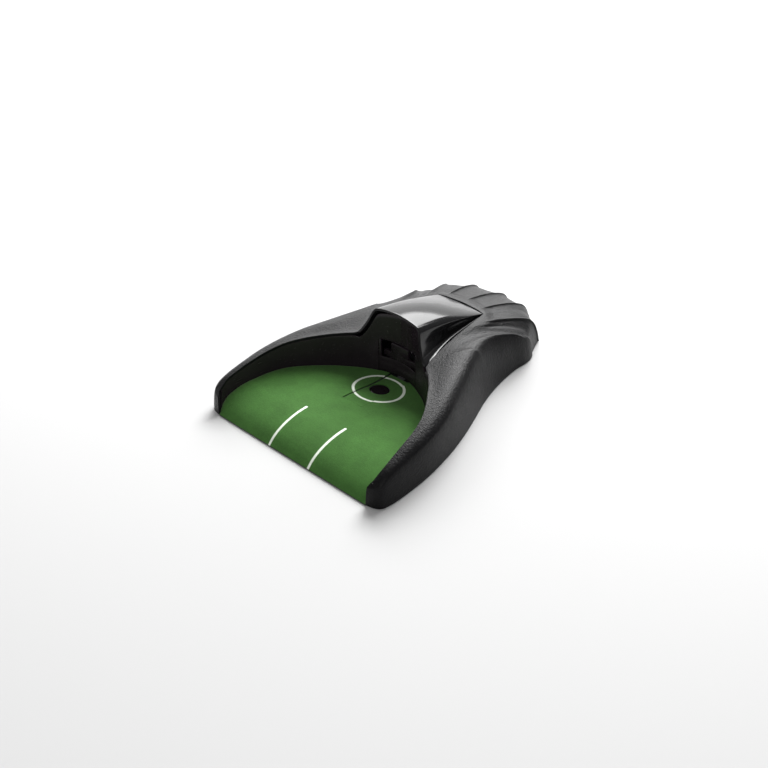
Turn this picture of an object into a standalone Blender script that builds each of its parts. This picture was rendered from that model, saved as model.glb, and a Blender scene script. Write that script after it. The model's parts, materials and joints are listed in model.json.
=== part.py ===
"""Automatic ball-return putting cup: a black housing with two forward arms, a green felt ramp with a
target on a hinged tongue, and behind the rear wall a geared kicker, its switches and four AA cells.

Metres, +Z up, +Y towards the tail. The origin is the centre of the footprint, on the floor.
"""

import math

import bmesh
import bpy
from mathutils import Matrix, Vector
from mathutils.bvhtree import BVHTree


# Overall size
WIDTH = 0.1988
LENGTH = 0.3010
HEIGHT = 0.0742
# The control points of the housing, below, are drawn in millimetres at this size
DRAWN_WIDTH = 198.8
DRAWN_LENGTH = 301.0
DRAWN_HEIGHT = 74.2

# Walls and gaps
GAP = 0.0003
SHELL_WALL = 0.0022
HOOD_WALL = 0.0020
LINER_WALL = 0.0016
# The inner wall starts this far behind the shell's nose and rises at this run per rise
NOSE_ROOM = 0.0008
NOSE_SLOPE = 0.235
RIM_HEIGHT = 0.0006
BASE_BOTTOM = 0.0010
BASE_THICKNESS = 0.0014
BASE_TOP = BASE_BOTTOM + BASE_THICKNESS
FLOOR_SEAT = BASE_TOP + GAP

# Ramp, felt and tongue
FELT_THICKNESS = 0.0009
FELT_GLUE = 0.0002
RAMP_THICKNESS = 0.0015
RAMP_LIP = 0.0012
RAMP_CREST = 0.0157
RAMP_REAR = 0.0072
TONGUE_HALF_WIDTH = 0.0105
TONGUE_FRONT = 0.0750
TONGUE_THICKNESS = 0.0011
TONGUE_SINK = 0.0012
TONGUE_SLOT_GAP = 0.0005
TONGUE_PIN_RADIUS = 0.0010
TONGUE_PIN_DROP = 0.0048
TONGUE_PIN_SETBACK = 0.0020
EAR_THICKNESS = 0.0020
EAR_RADIUS = 0.0022
TARGET_SETBACK = 0.0346
TARGET_RADIUS = 0.0091
DOME_RADIUS = 0.0084

# Kicker and its window in the rear wall
WINDOW_HALF_WIDTH = 0.0210
WINDOW_SILL = 0.0224
WINDOW_TOP = 0.0405
PANEL_POST = 0.0016
BAR_BOTTOM = 0.0230
BAR_TOP = 0.0290
BAR_DEPTH = 0.0030
BLOCK_HALF_WIDTH = 0.0098
BLOCK_TOP = 0.0395
ROD_HALF_WIDTH = 0.0050
ROD_BOTTOM = 0.0240
ROD_TOP = 0.0285
ROD_LENGTH = 0.0350
SPINDLE_RADIUS = 0.0021
GUIDE_FRONT_SETBACK = 0.0130
GUIDE_REAR_SETBACK = 0.0460
GUIDE_DEPTH = 0.0050
GUIDE_REAR_DEPTH = 0.0070
KICKER_TRAVEL = 0.0200
GUIDE_HALF_WIDTH = 0.0120
GUIDE_TOP = 0.0330
SPRING_RADIUS = 0.0036
SPRING_WIRE = 0.0004
SPRING_TURNS = 5

# Gear train
RACK_MODULE = 0.0010
RACK_GEAR_TEETH = 24
TRAIN_MODULE = 0.0008
WHEEL_TEETH = 36
SMALL_TEETH = 12
PINION_TEETH = 10
TOOTH_BACKLASH = 0.00016
GEAR_SETBACK = 0.0415
SHAFT_RADIUS = 0.0015
MOTOR_RADIUS = 0.0100
MOTOR_HEIGHT = 0.0250
MOTOR_SWING = 8.0

# Battery box, cells and door
CELL_RADIUS = 0.00725
CELL_LENGTH = 0.0505
CELL_GAP = 0.0012
CELL_ROWS = 2
BOX_SETBACK = 0.0760
BOX_WALL = 0.0014
CONTACT_THICKNESS = 0.0005
CONTACT_ROOM = 0.0016
DOOR_MARGIN = 0.0030
DOOR_GAP = 0.0004

# Switches and board
SWITCH_LENGTH = 0.0200
SWITCH_WIDTH = 0.0064
SWITCH_HEIGHT = 0.0102
PLUNGER_RADIUS = 0.0010
PLUNGER_HEIGHT = 0.0018
PLUNGER_SETBACK = 0.0105
BOARD_CENTRE = (0.0330, 0.0500)
BOARD_SIZE = (0.0340, 0.0420, 0.0016)
BOARD_HEIGHT = 0.0110
POWER_PLACE = (0.0330, 0.0200)
POWER_BODY = (0.0130, 0.0060, 0.0050)
KNOB_SIZE = (0.0040, 0.0030)
KNOB_TRAVEL = 0.0030

# Feet and screws
FOOT_RADIUS = 0.0050
FOOT_HEIGHT = 0.0007
SCREW_RADIUS = 0.0013
SCREW_HEAD_RADIUS = 0.0026
SCREW_HEAD = 0.0005
SCREW_LENGTH = 0.0110
SCREW_CLEARANCE = 0.0003
BOSS_RADIUS = 0.0032

# Ribs of the tail
RIB_DEPTH = 0.0034
RIB_FADE = 0.0300
RIB_CENTRE_DRAWN = (0.0, 95.0)
RIB_START_DRAWN = 134.0
RIB_START_SWEEP = 2.33

# Stations round the right half, from the arm's tip to the tail: floor (x, y), shoulder (x, y, z),
# inner edge (x, y, z), strips to the next station, and the rib coordinate at the tail
STATIONS = [
    ((84.0, 0.0), (84.6, 1.6, 18.5), (86.0, 4.8, 21.5), 2, None),
    ((92.0, 2.0), (91.0, 4.6, 19.5), (86.5, 7.0, 23.0), 2, None),
    ((96.4, 5.8), (93.8, 8.6, 22.3), (86.8, 10.0, 25.0), 2, None),
    ((98.4, 14.0), (94.5, 15.5, 25.8), (87.3, 16.5, 28.6), 2, None),
    ((99.3, 27.0), (94.8, 27.0, 28.4), (86.4, 27.0, 31.6), 2, None),
    ((99.3, 43.6), (95.0, 43.0, 30.6), (84.8, 42.0, 35.0), 2, None),
    ((98.6, 58.7), (94.7, 59.0, 32.5), (82.6, 57.0, 37.4), 2, None),
    ((96.5, 76.2), (92.4, 77.0, 34.4), (77.5, 73.5, 40.0), 2, None),
    ((92.8, 97.0), (86.8, 98.0, 37.0), (68.0, 90.0, 41.8), 2, None),
    ((87.3, 119.0), (78.8, 118.0, 39.2), (54.5, 108.5, 42.5), 3, None),
    ((79.5, 143.5), (68.5, 144.0, 41.5), (39.5, 123.0, 43.4), 3, None),
    ((72.0, 167.0), (59.0, 167.0, 43.8), (37.0, 135.0, 45.0), 3, None),
    ((66.5, 193.5), (51.5, 190.0, 44.4), (35.0, 148.0, 45.6), 3, 5.0),
    ((64.3, 220.0), (52.5, 209.0, 41.5), (33.4, 160.0, 46.0), 3, 4.0),
    ((65.2, 238.0), (58.5, 226.5, 34.5), (31.9, 171.0, 46.2), 3, 3.4),
    ((63.0, 249.5), (61.8, 240.0, 25.5), (30.8, 181.0, 46.3), 5, 3.0),
    ((53.0, 274.5), (49.0, 262.0, 28.5), (29.4, 195.0, 46.0), 3, 2.0),
    ((40.5, 285.5), (37.8, 273.0, 27.5), (26.4, 219.3, 45.0), 2, 1.46),
    ((29.0, 293.5), (27.4, 283.0, 25.5), (18.4, 221.2, 45.2), 5, 1.0),
    ((0.0, 301.0), (0.0, 291.0, 23.0), (0.0, 222.5, 45.4), 1, 0.0),
]
LEG_STATION = 10
# How far the shoulder's rounding reaches inwards, and where a section runs too nearly along the
# shoulder to be rounded: there the shoulder becomes the crisp ridge of the outermost rib
SHOULDER_REACH = 0.0085
SKEW_LOW = 0.30
SKEW_BAND = 0.35
CROSS_STEPS_TOP = 6
CROSS_STEPS_FLANK = 5

# Inner wall round the green, right half, tip to rear centre (x, y)
MOUTH_OUTLINE = [
    (85.0, 3.7), (86.4, 7.6), (87.4, 13.0), (87.3, 20.0), (86.4, 30.0), (84.8, 42.0), (82.6, 57.0),
    (77.5, 73.5), (68.0, 90.0), (54.5, 108.5), (39.0, 122.0), (26.0, 129.8), (13.0, 135.3), (0.0, 137.0),
]
MOUTH_HALF_FRONT = 84.0
# Front edge of the hood, right half, from the leg's foot to the crown (x, z); it leans back as it rises
ARCH = [
    (39.0, 43.8), (37.6, 45.4), (35.0, 49.0), (31.0, 56.5), (28.5, 62.5), (26.6, 67.2), (24.6, 69.9),
    (22.0, 71.4), (18.0, 72.4), (10.0, 73.6), (0.0, 74.2),
]
ARCH_CREASE = 5
ARCH_BACKSET = 110.0
ARCH_LEAN = 0.30
HOOD_REAR = 219.4
HOOD_REAR_HALF = 25.8
HOOD_REAR_HEIGHT = 45.2
HOOD_STEPS = 8
FACET_DISH = 0.0030


def drawn(x, y, z=0.0):
    """A drawn control point at the object's real size, from the middle of the front edge."""
    return Vector((x * WIDTH / DRAWN_WIDTH, y * LENGTH / DRAWN_LENGTH, z * HEIGHT / DRAWN_HEIGHT))


REAR_WALL = drawn(*MOUTH_OUTLINE[-1]).y
TONGUE_REAR = REAR_WALL - 0.0016
GEAR_Y = REAR_WALL + GEAR_SETBACK
RACK_GEAR_RADIUS = RACK_MODULE * RACK_GEAR_TEETH / 2
WHEEL_RADIUS = TRAIN_MODULE * WHEEL_TEETH / 2
SMALL_RADIUS = TRAIN_MODULE * SMALL_TEETH / 2
PINION_RADIUS = TRAIN_MODULE * PINION_TEETH / 2
GEAR_X = -(ROD_HALF_WIDTH + RACK_GEAR_RADIUS)
IDLER_X = GEAR_X - WHEEL_RADIUS - SMALL_RADIUS
MOTOR_X = IDLER_X - (WHEEL_RADIUS + PINION_RADIUS) * math.sin(math.radians(MOTOR_SWING))
MOTOR_Y = GEAR_Y + (WHEEL_RADIUS + PINION_RADIUS) * math.cos(math.radians(MOTOR_SWING))
MOTOR_TOP = FLOOR_SEAT + MOTOR_HEIGHT
PINION_BOTTOM = MOTOR_TOP + 0.0015
PINION_TOP = PINION_BOTTOM + 0.0035
WHEEL_BOTTOM = ROD_BOTTOM - 0.0056
WHEEL_TOP = WHEEL_BOTTOM + 0.0040
BRACKET_BOTTOM = PINION_TOP + 0.0010
BRACKET_THICKNESS = 0.0014


# ---------------------------------------------------------------- scene and materials

for old in list(bpy.data.objects):
    bpy.data.objects.remove(old, do_unlink=True)

front_edge = bpy.data.objects.new("front_edge", None)
front_edge.location = (0.0, -LENGTH / 2, 0.0)
bpy.context.scene.collection.objects.link(front_edge)


def material(name, colour, roughness, metallic=0.0):
    made = bpy.data.materials.new(name)
    made.use_nodes = True
    shader = made.node_tree.nodes["Principled BSDF"]
    shader.inputs["Base Color"].default_value = (*colour, 1.0)
    shader.inputs["Roughness"].default_value = roughness
    shader.inputs["Metallic"].default_value = metallic
    return made


MATT_BLACK = material("matt_black", (0.030, 0.030, 0.032), 0.55)
GLOSS_BLACK = material("gloss_black", (0.012, 0.012, 0.013), 0.12)
LINER_BLACK = material("liner_black", (0.014, 0.014, 0.015), 0.30)
FELT_GREEN = material("felt_green", (0.060, 0.190, 0.035), 0.95)
DARK_DOME = material("dark_dome", (0.016, 0.013, 0.016), 0.10)
INNER_BLACK = material("inner_black", (0.050, 0.050, 0.052), 0.60)
GEAR_WHITE = material("gear_white", (0.750, 0.740, 0.690), 0.45)
STEEL = material("steel", (0.600, 0.600, 0.610), 0.30, 1.0)
BRASS = material("brass", (0.720, 0.500, 0.190), 0.30, 1.0)
BOARD_GREEN = material("board_green", (0.030, 0.160, 0.060), 0.40)
CELL_GREY = material("cell_grey", (0.140, 0.150, 0.170), 0.35)
RUBBER = material("rubber", (0.020, 0.020, 0.020), 0.85)
SWITCH_RED = material("switch_red", (0.420, 0.040, 0.030), 0.50)


# ---------------------------------------------------------------- building blocks


def add(name, mesh, finish, smooth_angle=35.0):
    """An object in the front edge's frame."""
    made = bpy.data.objects.new(name, mesh)
    made.parent = front_edge
    mesh.materials.append(finish)
    mesh.shade_smooth()
    mesh.set_sharp_from_angle(angle=math.radians(smooth_angle))
    bpy.context.scene.collection.objects.link(made)
    return made


def from_bmesh(name, form, finish, origin=(0.0, 0.0, 0.0)):
    bmesh.ops.recalc_face_normals(form, faces=form.faces)
    bmesh.ops.translate(form, vec=-Vector(origin), verts=form.verts)
    mesh = bpy.data.meshes.new(name)
    form.to_mesh(mesh)
    form.free()
    made = add(name, mesh, finish)
    made.location = origin
    return made


def slab(name, top, bottom, finish, origin=(0.0, 0.0, 0.0)):
    """A closed solid between two grids of points with the same rows and columns."""
    form = bmesh.new()
    upper = [[form.verts.new(point) for point in row] for row in top]
    lower = [[form.verts.new(point) for point in row] for row in bottom]
    rows = len(upper)
    columns = len(upper[0])
    for i in range(rows - 1):
        for j in range(columns - 1):
            form.faces.new((upper[i][j], upper[i + 1][j], upper[i + 1][j + 1], upper[i][j + 1]))
            form.faces.new((lower[i][j], lower[i][j + 1], lower[i + 1][j + 1], lower[i + 1][j]))
    for i in range(rows - 1):
        for j in (0, columns - 1):
            form.faces.new((upper[i][j], upper[i + 1][j], lower[i + 1][j], lower[i][j]))
    for j in range(columns - 1):
        for i in (0, rows - 1):
            form.faces.new((upper[i][j], upper[i][j + 1], lower[i][j + 1], lower[i][j]))
    return from_bmesh(name, form, finish, origin)


def box(name, low, high, finish, bevel=0.0, origin=(0.0, 0.0, 0.0)):
    form = bmesh.new()
    bmesh.ops.create_cube(form, size=1.0)
    size = Vector(high) - Vector(low)
    middle = (Vector(high) + Vector(low)) / 2
    bmesh.ops.scale(form, vec=size, verts=form.verts)
    if bevel:
        bmesh.ops.bevel(
            form, geom=form.edges[:], offset=bevel, segments=2, affect="EDGES", profile=0.5, material=-1
        )
    bmesh.ops.translate(form, vec=middle, verts=form.verts)
    return from_bmesh(name, form, finish, origin)


def prism(name, outline, low, high, finish, origin=(0.0, 0.0, 0.0)):
    """A plan outline of (x, y) extruded from z low to z high."""
    form = bmesh.new()
    face = form.faces.new([form.verts.new((x, y, low)) for x, y in outline])
    raised = bmesh.ops.extrude_face_region(form, geom=[face])
    verts = [item for item in raised["geom"] if isinstance(item, bmesh.types.BMVert)]
    bmesh.ops.translate(form, vec=(0.0, 0.0, high - low), verts=verts)
    return from_bmesh(name, form, finish, origin)


def turned(name, profile, centre, finish, segments=24, turn=None):
    """A closed (radius, height) profile that starts and ends on the axis, spun about Z at centre."""
    form = bmesh.new()
    points = [form.verts.new((radius, 0.0, height)) for radius, height in profile]
    edges = [form.edges.new(pair) for pair in zip(points, points[1:])]
    bmesh.ops.spin(
        form, geom=points + edges, cent=(0, 0, 0), axis=(0, 0, 1), angle=math.tau, steps=segments,
        use_merge=True, use_duplicate=False,
    )
    bmesh.ops.remove_doubles(form, verts=form.verts, dist=1e-6)
    bmesh.ops.recalc_face_normals(form, faces=form.faces)
    made = from_bmesh(name, form, finish)
    made.location = centre
    if turn:
        made.rotation_euler = turn
    return made


def rod(name, radius, start, end, finish, segments=20):
    """A round bar from one point to another."""
    form = bmesh.new()
    bmesh.ops.create_cone(
        form, cap_ends=True, segments=segments, radius1=radius, radius2=radius,
        depth=(Vector(end) - Vector(start)).length,
    )
    along = (Vector(end) - Vector(start)).to_track_quat("Z", "Y").to_matrix()
    bmesh.ops.rotate(form, cent=(0, 0, 0), matrix=along, verts=form.verts)
    bmesh.ops.translate(form, vec=(Vector(start) + Vector(end)) / 2, verts=form.verts)
    return from_bmesh(name, form, finish)


def combine(target, tool, operation):
    """A live Boolean; the tool becomes a hidden helper."""
    modifier = target.modifiers.new(operation.lower(), "BOOLEAN")
    modifier.operation = operation
    modifier.solver = "EXACT"
    modifier.object = tool
    tool.hide_render = True
    tool.display_type = "WIRE"


def cut(target, tool):
    combine(target, tool, "DIFFERENCE")


def join(target, tool):
    combine(target, tool, "UNION")


def coil(name, radius, wire, turns, length, origin, axis, finish, legs=None, around=12, sides=6):
    """A helical wire about an axis, starting at origin; legs are extra (start, end) points."""
    steps = round(around * turns)
    path = [
        Vector((
            radius * math.cos(math.tau * k / around),
            radius * math.sin(math.tau * k / around),
            length * k / steps,
        ))
        for k in range(steps + 1)
    ]
    turned_to = Vector(axis).to_track_quat("Z", "Y")
    path = [turned_to @ point for point in path]
    if legs:
        path = [Vector(legs[0])] + path + [Vector(legs[1])]
    curve = bpy.data.curves.new(name, "CURVE")
    curve.dimensions = "3D"
    curve.bevel_depth = wire
    curve.bevel_resolution = (sides - 4) // 2
    curve.use_fill_caps = True
    spline = curve.splines.new("POLY")
    spline.points.add(len(path) - 1)
    for point, place in zip(spline.points, path):
        point.co = (*place, 1.0)
    curve.materials.append(finish)
    made = bpy.data.objects.new(name, curve)
    made.parent = front_edge
    made.location = origin
    bpy.context.scene.collection.objects.link(made)
    return made


# ---------------------------------------------------------------- smooth curves through points


def curve_point(points, place):
    """Catmull-Rom: the point at a fractional index."""
    last = len(points) - 1
    k = min(int(place), last - 1)
    f = place - k
    p1 = Vector(points[k])
    p2 = Vector(points[k + 1])
    p0 = Vector(points[k - 1]) if k > 0 else 2 * p1 - p2
    p3 = Vector(points[k + 2]) if k + 2 <= last else 2 * p2 - p1
    return 0.5 * (
        2 * p1 + (p2 - p0) * f + (2 * p0 - 5 * p1 + 4 * p2 - p3) * f ** 2
        + (3 * p1 - p0 - 3 * p2 + p3) * f ** 3
    )


def straight_point(points, place):
    k = min(int(place), len(points) - 2)
    return Vector(points[k]).lerp(Vector(points[k + 1]), place - k)


def bezier(p0, p1, p2, p3, t):
    s = 1.0 - t
    return p0 * s ** 3 + p1 * (3 * s * s * t) + p2 * (3 * s * t * t) + p3 * t ** 3


def smooth_step(value):
    value = max(0.0, min(1.0, value))
    return value * value * (3 - 2 * value)


# ---------------------------------------------------------------- housing shell

FLOOR_LINE = [drawn(*station[0]) for station in STATIONS]
SHOULDER_LINE = [drawn(*station[1]) for station in STATIONS]
EDGE_LINE = [drawn(*station[2]) for station in STATIONS]
RIB_LINE = [6.0 if station[4] is None else station[4] for station in STATIONS]
TAIL = len(STATIONS) - 1


def edge_point(place):
    """The inner edge: smooth along the arm, straight along the hood."""
    if place <= LEG_STATION:
        return curve_point(EDGE_LINE[: LEG_STATION + 1], place)
    return straight_point(EDGE_LINE, place)


def section(place):
    """One cross-section of the right half, inner edge to floor, before the ribs are sunk in."""
    floor = curve_point(FLOOR_LINE, place)
    floor.z = RIM_HEIGHT
    shoulder = curve_point(SHOULDER_LINE, place)
    edge = edge_point(place)
    before = curve_point(SHOULDER_LINE, max(0.0, place - 0.05))
    after = curve_point(SHOULDER_LINE, min(float(TAIL), place + 0.05))
    along = (after - before).xy.normalized()
    fall = -(after - before).z / (after - before).xy.length
    inward = (shoulder - edge).xy
    outward = (floor - shoulder).xy
    lean_in = Vector((*inward.normalized(), 0.0))
    lean_out = Vector((*outward.normalized(), 0.0))
    square = smooth_step((abs(inward.normalized().cross(along)) - SKEW_LOW) / SKEW_BAND)
    chord = (edge.z - shoulder.z) / inward.length
    slope = abs(inward.normalized().cross(along)) + fall * inward.normalized().dot(along)
    slope = slope * square + 2.0 * chord * (1.0 - square)
    slope_out = abs(outward.normalized().cross(along)) + fall * outward.normalized().dot(along)
    reach = 0.35 * inward.length
    reach = min(reach, SHOULDER_REACH) * square + reach * (1.0 - square)
    top_handle = edge + (lean_in - Vector((0, 0, 0.10))) * (0.4 * inward.length)
    shoulder_in = shoulder - (lean_in - Vector((0, 0, slope))) * reach
    out_reach = 0.55 * outward.length
    shoulder_out = shoulder + lean_out * out_reach - Vector((0, 0, slope_out * out_reach))
    foot_handle = floor + Vector((0, 0, 0.45 * shoulder.z)) - lean_out * (0.22 * outward.length)
    top = [
        bezier(edge, top_handle, shoulder_in, shoulder, k / CROSS_STEPS_TOP)
        for k in range(CROSS_STEPS_TOP)
    ]
    flank = [
        bezier(shoulder, shoulder_out, foot_handle, floor, k / CROSS_STEPS_FLANK)
        for k in range(CROSS_STEPS_FLANK + 1)
    ]
    return top + flank


def rib_sink(point, rib):
    """How deep the valley between two ribs is at a point of the surface."""
    if rib >= 3.0:
        return 0.0
    centre = drawn(*RIB_CENTRE_DRAWN)
    start = (RIB_START_DRAWN - RIB_START_SWEEP * rib ** 2) * LENGTH / DRAWN_LENGTH
    grown = smooth_step(((point - centre).xy.length - start) / RIB_FADE)
    across = rib - math.floor(rib)
    hollow = 1.0 - (2.0 * across - 1.0) ** 2
    return RIB_DEPTH * grown * hollow


def normals_of(grid):
    """Outward unit normals of a grid of points whose rows run inner edge to floor."""
    rows = len(grid)
    columns = len(grid[0])
    found = []
    for i in range(rows):
        line = []
        for j in range(columns):
            across = grid[i][min(j + 1, columns - 1)] - grid[i][max(j - 1, 0)]
            along = grid[min(i + 1, rows - 1)][j] - grid[max(i - 1, 0)][j]
            line.append(across.cross(along).normalized())
        found.append(line)
    return found


def mirrored(point):
    return Vector((-point.x, point.y, point.z))


def shell_grid():
    """Columns from the right tip round the tail to the left tip."""
    places = []
    for k in range(TAIL):
        strips = STATIONS[k][3]
        places += [k + n / strips for n in range(strips)]
    places.append(float(TAIL))
    smooth = [section(place) for place in places]
    outward = normals_of(smooth)
    right = []
    for place, column, normals in zip(places, smooth, outward):
        rib = straight_point([(value, 0.0, 0.0) for value in RIB_LINE], place).x
        sunk = [p - n * rib_sink(p, rib) for p, n in zip(column, normals)]
        sunk[-1].z = RIM_HEIGHT
        right.append(sunk)
    for point in right[-1]:
        point.x = 0.0
    left = [[mirrored(point) for point in column] for column in reversed(right[:-1])]
    return right + left


def make_shell():
    outer = shell_grid()
    normals = normals_of(outer)
    inner = []
    for column, line in zip(outer, normals):
        inner.append([p - n * SHELL_WALL for p, n in zip(column, line)])
        inner[-1][0] = column[0] - Vector((0.0, 0.0, SHELL_WALL))
        inner[-1][-1].z = RIM_HEIGHT
    for k in (0, -1):
        inner[k] = [p + Vector((0.0, SHELL_WALL, 0.0)) for p in outer[k]]
    shell = slab("housing_shell", outer, inner, MATT_BLACK)
    roof = BVHTree.FromPolygons(
        [point for column in inner for point in column],
        [
            (i * len(inner[0]) + j, (i + 1) * len(inner[0]) + j,
             (i + 1) * len(inner[0]) + j + 1, i * len(inner[0]) + j + 1)
            for i in range(len(inner) - 1)
            for j in range(len(inner[0]) - 1)
        ],
    )
    for k, (x, y) in enumerate(screw_places()):
        rim = [
            Vector((x + BOSS_RADIUS * math.cos(turn), y + BOSS_RADIUS * math.sin(turn), FLOOR_SEAT))
            for turn in (0.0, math.pi / 2, math.pi, 1.5 * math.pi)
        ]
        ceiling = min(roof.ray_cast(spot, Vector((0, 0, 1)))[0].z for spot in rim)
        top = ceiling + SHELL_WALL * 0.4
        post = rod(f"boss_{k}", BOSS_RADIUS, (x, y, FLOOR_SEAT), (x, y, top), MATT_BLACK, segments=12)
        bore = rod(
            f"boss_bore_{k}", SCREW_RADIUS + SCREW_CLEARANCE, (x, y, 0.0),
            (x, y, BASE_BOTTOM + SCREW_LENGTH + 0.001), MATT_BLACK, segments=12,
        )
        join(shell, post)
        cut(shell, bore)
    return shell


def screw_places():
    spots = [(90.0, 58.0), (61.0, 160.0), (30.0, 268.0)]
    return [(side * drawn(x, y).x, drawn(x, y).y) for x, y in spots for side in (-1, 1)]


def foot_places():
    spots = [(78.0, 24.0), (62.0, 148.0), (42.0, 262.0)]
    return [(side * drawn(x, y).x, drawn(x, y).y) for x, y in spots for side in (-1, 1)]


# ---------------------------------------------------------------- hood


def arch_line(inset):
    """The arch's front edge, right foot over the crown to left foot, moved inwards by inset."""
    right = [Vector((x * WIDTH / DRAWN_WIDTH, z * HEIGHT / DRAWN_HEIGHT)) for x, z in ARCH]
    full = right + [Vector((-p.x, p.y)) for p in reversed(right[:-1])]
    moved = []
    for k, point in enumerate(full):
        along = (full[min(k + 1, len(full) - 1)] - full[max(k - 1, 0)]).normalized()
        moved.append(point + Vector((-along.y, along.x)) * inset)
    return moved


def hood_foot(y):
    """Where the hood's side edge meets the shell's inner edge, at y."""
    for a, b in zip(EDGE_LINE[LEG_STATION:], EDGE_LINE[LEG_STATION + 1:]):
        if a.y <= y <= b.y:
            return a.lerp(b, (y - a.y) / (b.y - a.y))
    return EDGE_LINE[LEG_STATION].copy()


def hood_skin(inset):
    """A ruled grid from the arch to the rear edge; the side facets close to the rear corners."""
    front = arch_line(inset)
    count = len(front)
    rear_y = drawn(0.0, HOOD_REAR).y - inset
    rear_z = HOOD_REAR_HEIGHT * HEIGHT / DRAWN_HEIGHT - inset
    rear_half = HOOD_REAR_HALF * WIDTH / DRAWN_WIDTH - inset
    crease_half = front[ARCH_CREASE].x
    rows = []
    for k in range(HOOD_STEPS + 1):
        v = k / HOOD_STEPS
        row = []
        for n, point in enumerate(front):
            depth = min(n, count - 1 - n)
            lean = ARCH_LEAN * LENGTH / DRAWN_LENGTH * DRAWN_HEIGHT / HEIGHT
            y = drawn(0.0, ARCH_BACKSET).y + lean * point.y
            start = Vector((point.x, y, point.y))
            if depth >= ARCH_CREASE:
                share = point.x / crease_half
                end = Vector((share * rear_half, rear_y + 0.0022 * (1 - share ** 2), rear_z))
                dish = 0.0
            else:
                low = (ARCH_CREASE - depth) / ARCH_CREASE
                side = math.copysign(1.0, point.x)
                end = Vector(
                    (side * (rear_half + 0.0006 * low), rear_y - 0.0010 * low, rear_z - 0.0012 * low)
                )
                dish = FACET_DISH * math.sin(math.pi * low) * math.sin(math.pi * v) * 1.2
            place = start.lerp(end, v)
            if depth < ARCH_CREASE:
                foot_start = Vector((front[0].x, start.y, front[0].y))
                foot_end = Vector((rear_half + 0.0006, rear_y - 0.0010, rear_z - 0.0012))
                foot_line = foot_start.lerp(foot_end, v)
                pull = (hood_foot(place.y).x - inset - 0.0002 - foot_line.x) * low
                place.x += side * min(pull, 0.0) * math.sin(math.pi * v) ** 0.5
            place.x -= math.copysign(dish, point.x)
            place.z -= 0.4 * dish
            row.append(place)
        rows.append(row)
    return rows


def make_hood():
    return slab("hood", hood_skin(GAP), hood_skin(HOOD_WALL + GAP), GLOSS_BLACK)


# ---------------------------------------------------------------- inner wall and its window panel


def mouth_points(steps_each=3):
    """The wall's inner face in plan, right tip round the rear to the left tip."""
    line = [drawn(x, y) for x, y in MOUTH_OUTLINE]
    count = (len(line) - 1) * steps_each
    right = [curve_point(line, k / steps_each) for k in range(count + 1)]
    right[-1].x = 0.0
    return right + [mirrored(point) for point in reversed(right[:-1])]


def wall_top(point):
    """How high the inner wall reaches at a plan point: under the shell's edge, or inside the hood."""
    x = abs(point.x)
    leg = drawn(*ARCH[0][:1], 0.0).x
    if x < leg:
        inner = arch_line(HOOD_WALL + 0.0018)
        half = inner[: len(ARCH)]
        for a, b in zip(half, half[1:]):
            if b.x <= x <= a.x:
                return a.y + (b.y - a.y) * (a.x - x) / (a.x - b.x) - 0.0022
        return half[0].y - 0.0024
    nose = (point.y - SHELL_WALL - NOSE_ROOM) / NOSE_SLOPE
    nearest = min(
        (edge_point(k / 4) for k in range(LEG_STATION * 4 + 1)),
        key=lambda p: (p.xy - Vector((x, point.y))).length,
    )
    return min(nearest.z - SHELL_WALL - 0.0008, nose)


def outward_of(points, k):
    along = points[min(k + 1, len(points) - 1)] - points[max(k - 1, 0)]
    return Vector((along.y, -along.x, 0.0)).normalized()


def make_cup_wall():
    plan = mouth_points()
    rows_in = []
    rows_out = []
    for k, point in enumerate(plan):
        top = max(wall_top(point), FLOOR_SEAT + 0.0006)
        out = point + outward_of(plan, k) * LINER_WALL
        rows_in.append([Vector((point.x, point.y, FLOOR_SEAT)), Vector((point.x, point.y, top))])
        rows_out.append([Vector((out.x, out.y, FLOOR_SEAT)), Vector((out.x, out.y, top))])
    wall = slab("cup_wall", rows_in, rows_out, LINER_BLACK)
    opening = box(
        "window_cutter", (-WINDOW_HALF_WIDTH - GAP, REAR_WALL - 0.02, -0.01),
        (WINDOW_HALF_WIDTH + GAP, REAR_WALL + 0.02, WINDOW_TOP), LINER_BLACK,
    )
    cut(wall, opening)
    return wall


def rear_plan(half, inset, count):
    """Points of the rear wall's inner face between x = -half and half, moved outwards by inset."""
    plan = mouth_points()
    tail = [p for p in plan if p.y > REAR_WALL * 0.8]
    found = []
    for k in range(count + 1):
        x = half - 2 * half * k / count
        for a, b in zip(tail, tail[1:]):
            if b.x <= x <= a.x:
                share = (a.x - x) / (a.x - b.x)
                found.append(Vector((x, a.y + (b.y - a.y) * share + inset, 0.0)))
                break
    return found


def make_kicker_panel():
    """The lower panel of the window and its two side posts."""
    face = rear_plan(WINDOW_HALF_WIDTH, 0.0, 12)
    back = rear_plan(WINDOW_HALF_WIDTH, LINER_WALL, 12)
    low = RAMP_REAR + 0.0006
    rows_in = [[Vector((p.x, p.y, low)), Vector((p.x, p.y, WINDOW_TOP - GAP))] for p in face]
    rows_out = [[Vector((p.x, p.y, low)), Vector((p.x, p.y, WINDOW_TOP - GAP))] for p in back]
    panel = slab("kicker_panel", rows_in, rows_out, LINER_BLACK)
    opening = box(
        "panel_cutter", (-WINDOW_HALF_WIDTH + PANEL_POST, REAR_WALL - 0.02, WINDOW_SILL),
        (WINDOW_HALF_WIDTH - PANEL_POST, REAR_WALL + 0.02, WINDOW_TOP + 0.01), LINER_BLACK,
    )
    cut(panel, opening)
    return panel


# ---------------------------------------------------------------- ramp, felt and tongue

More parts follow.
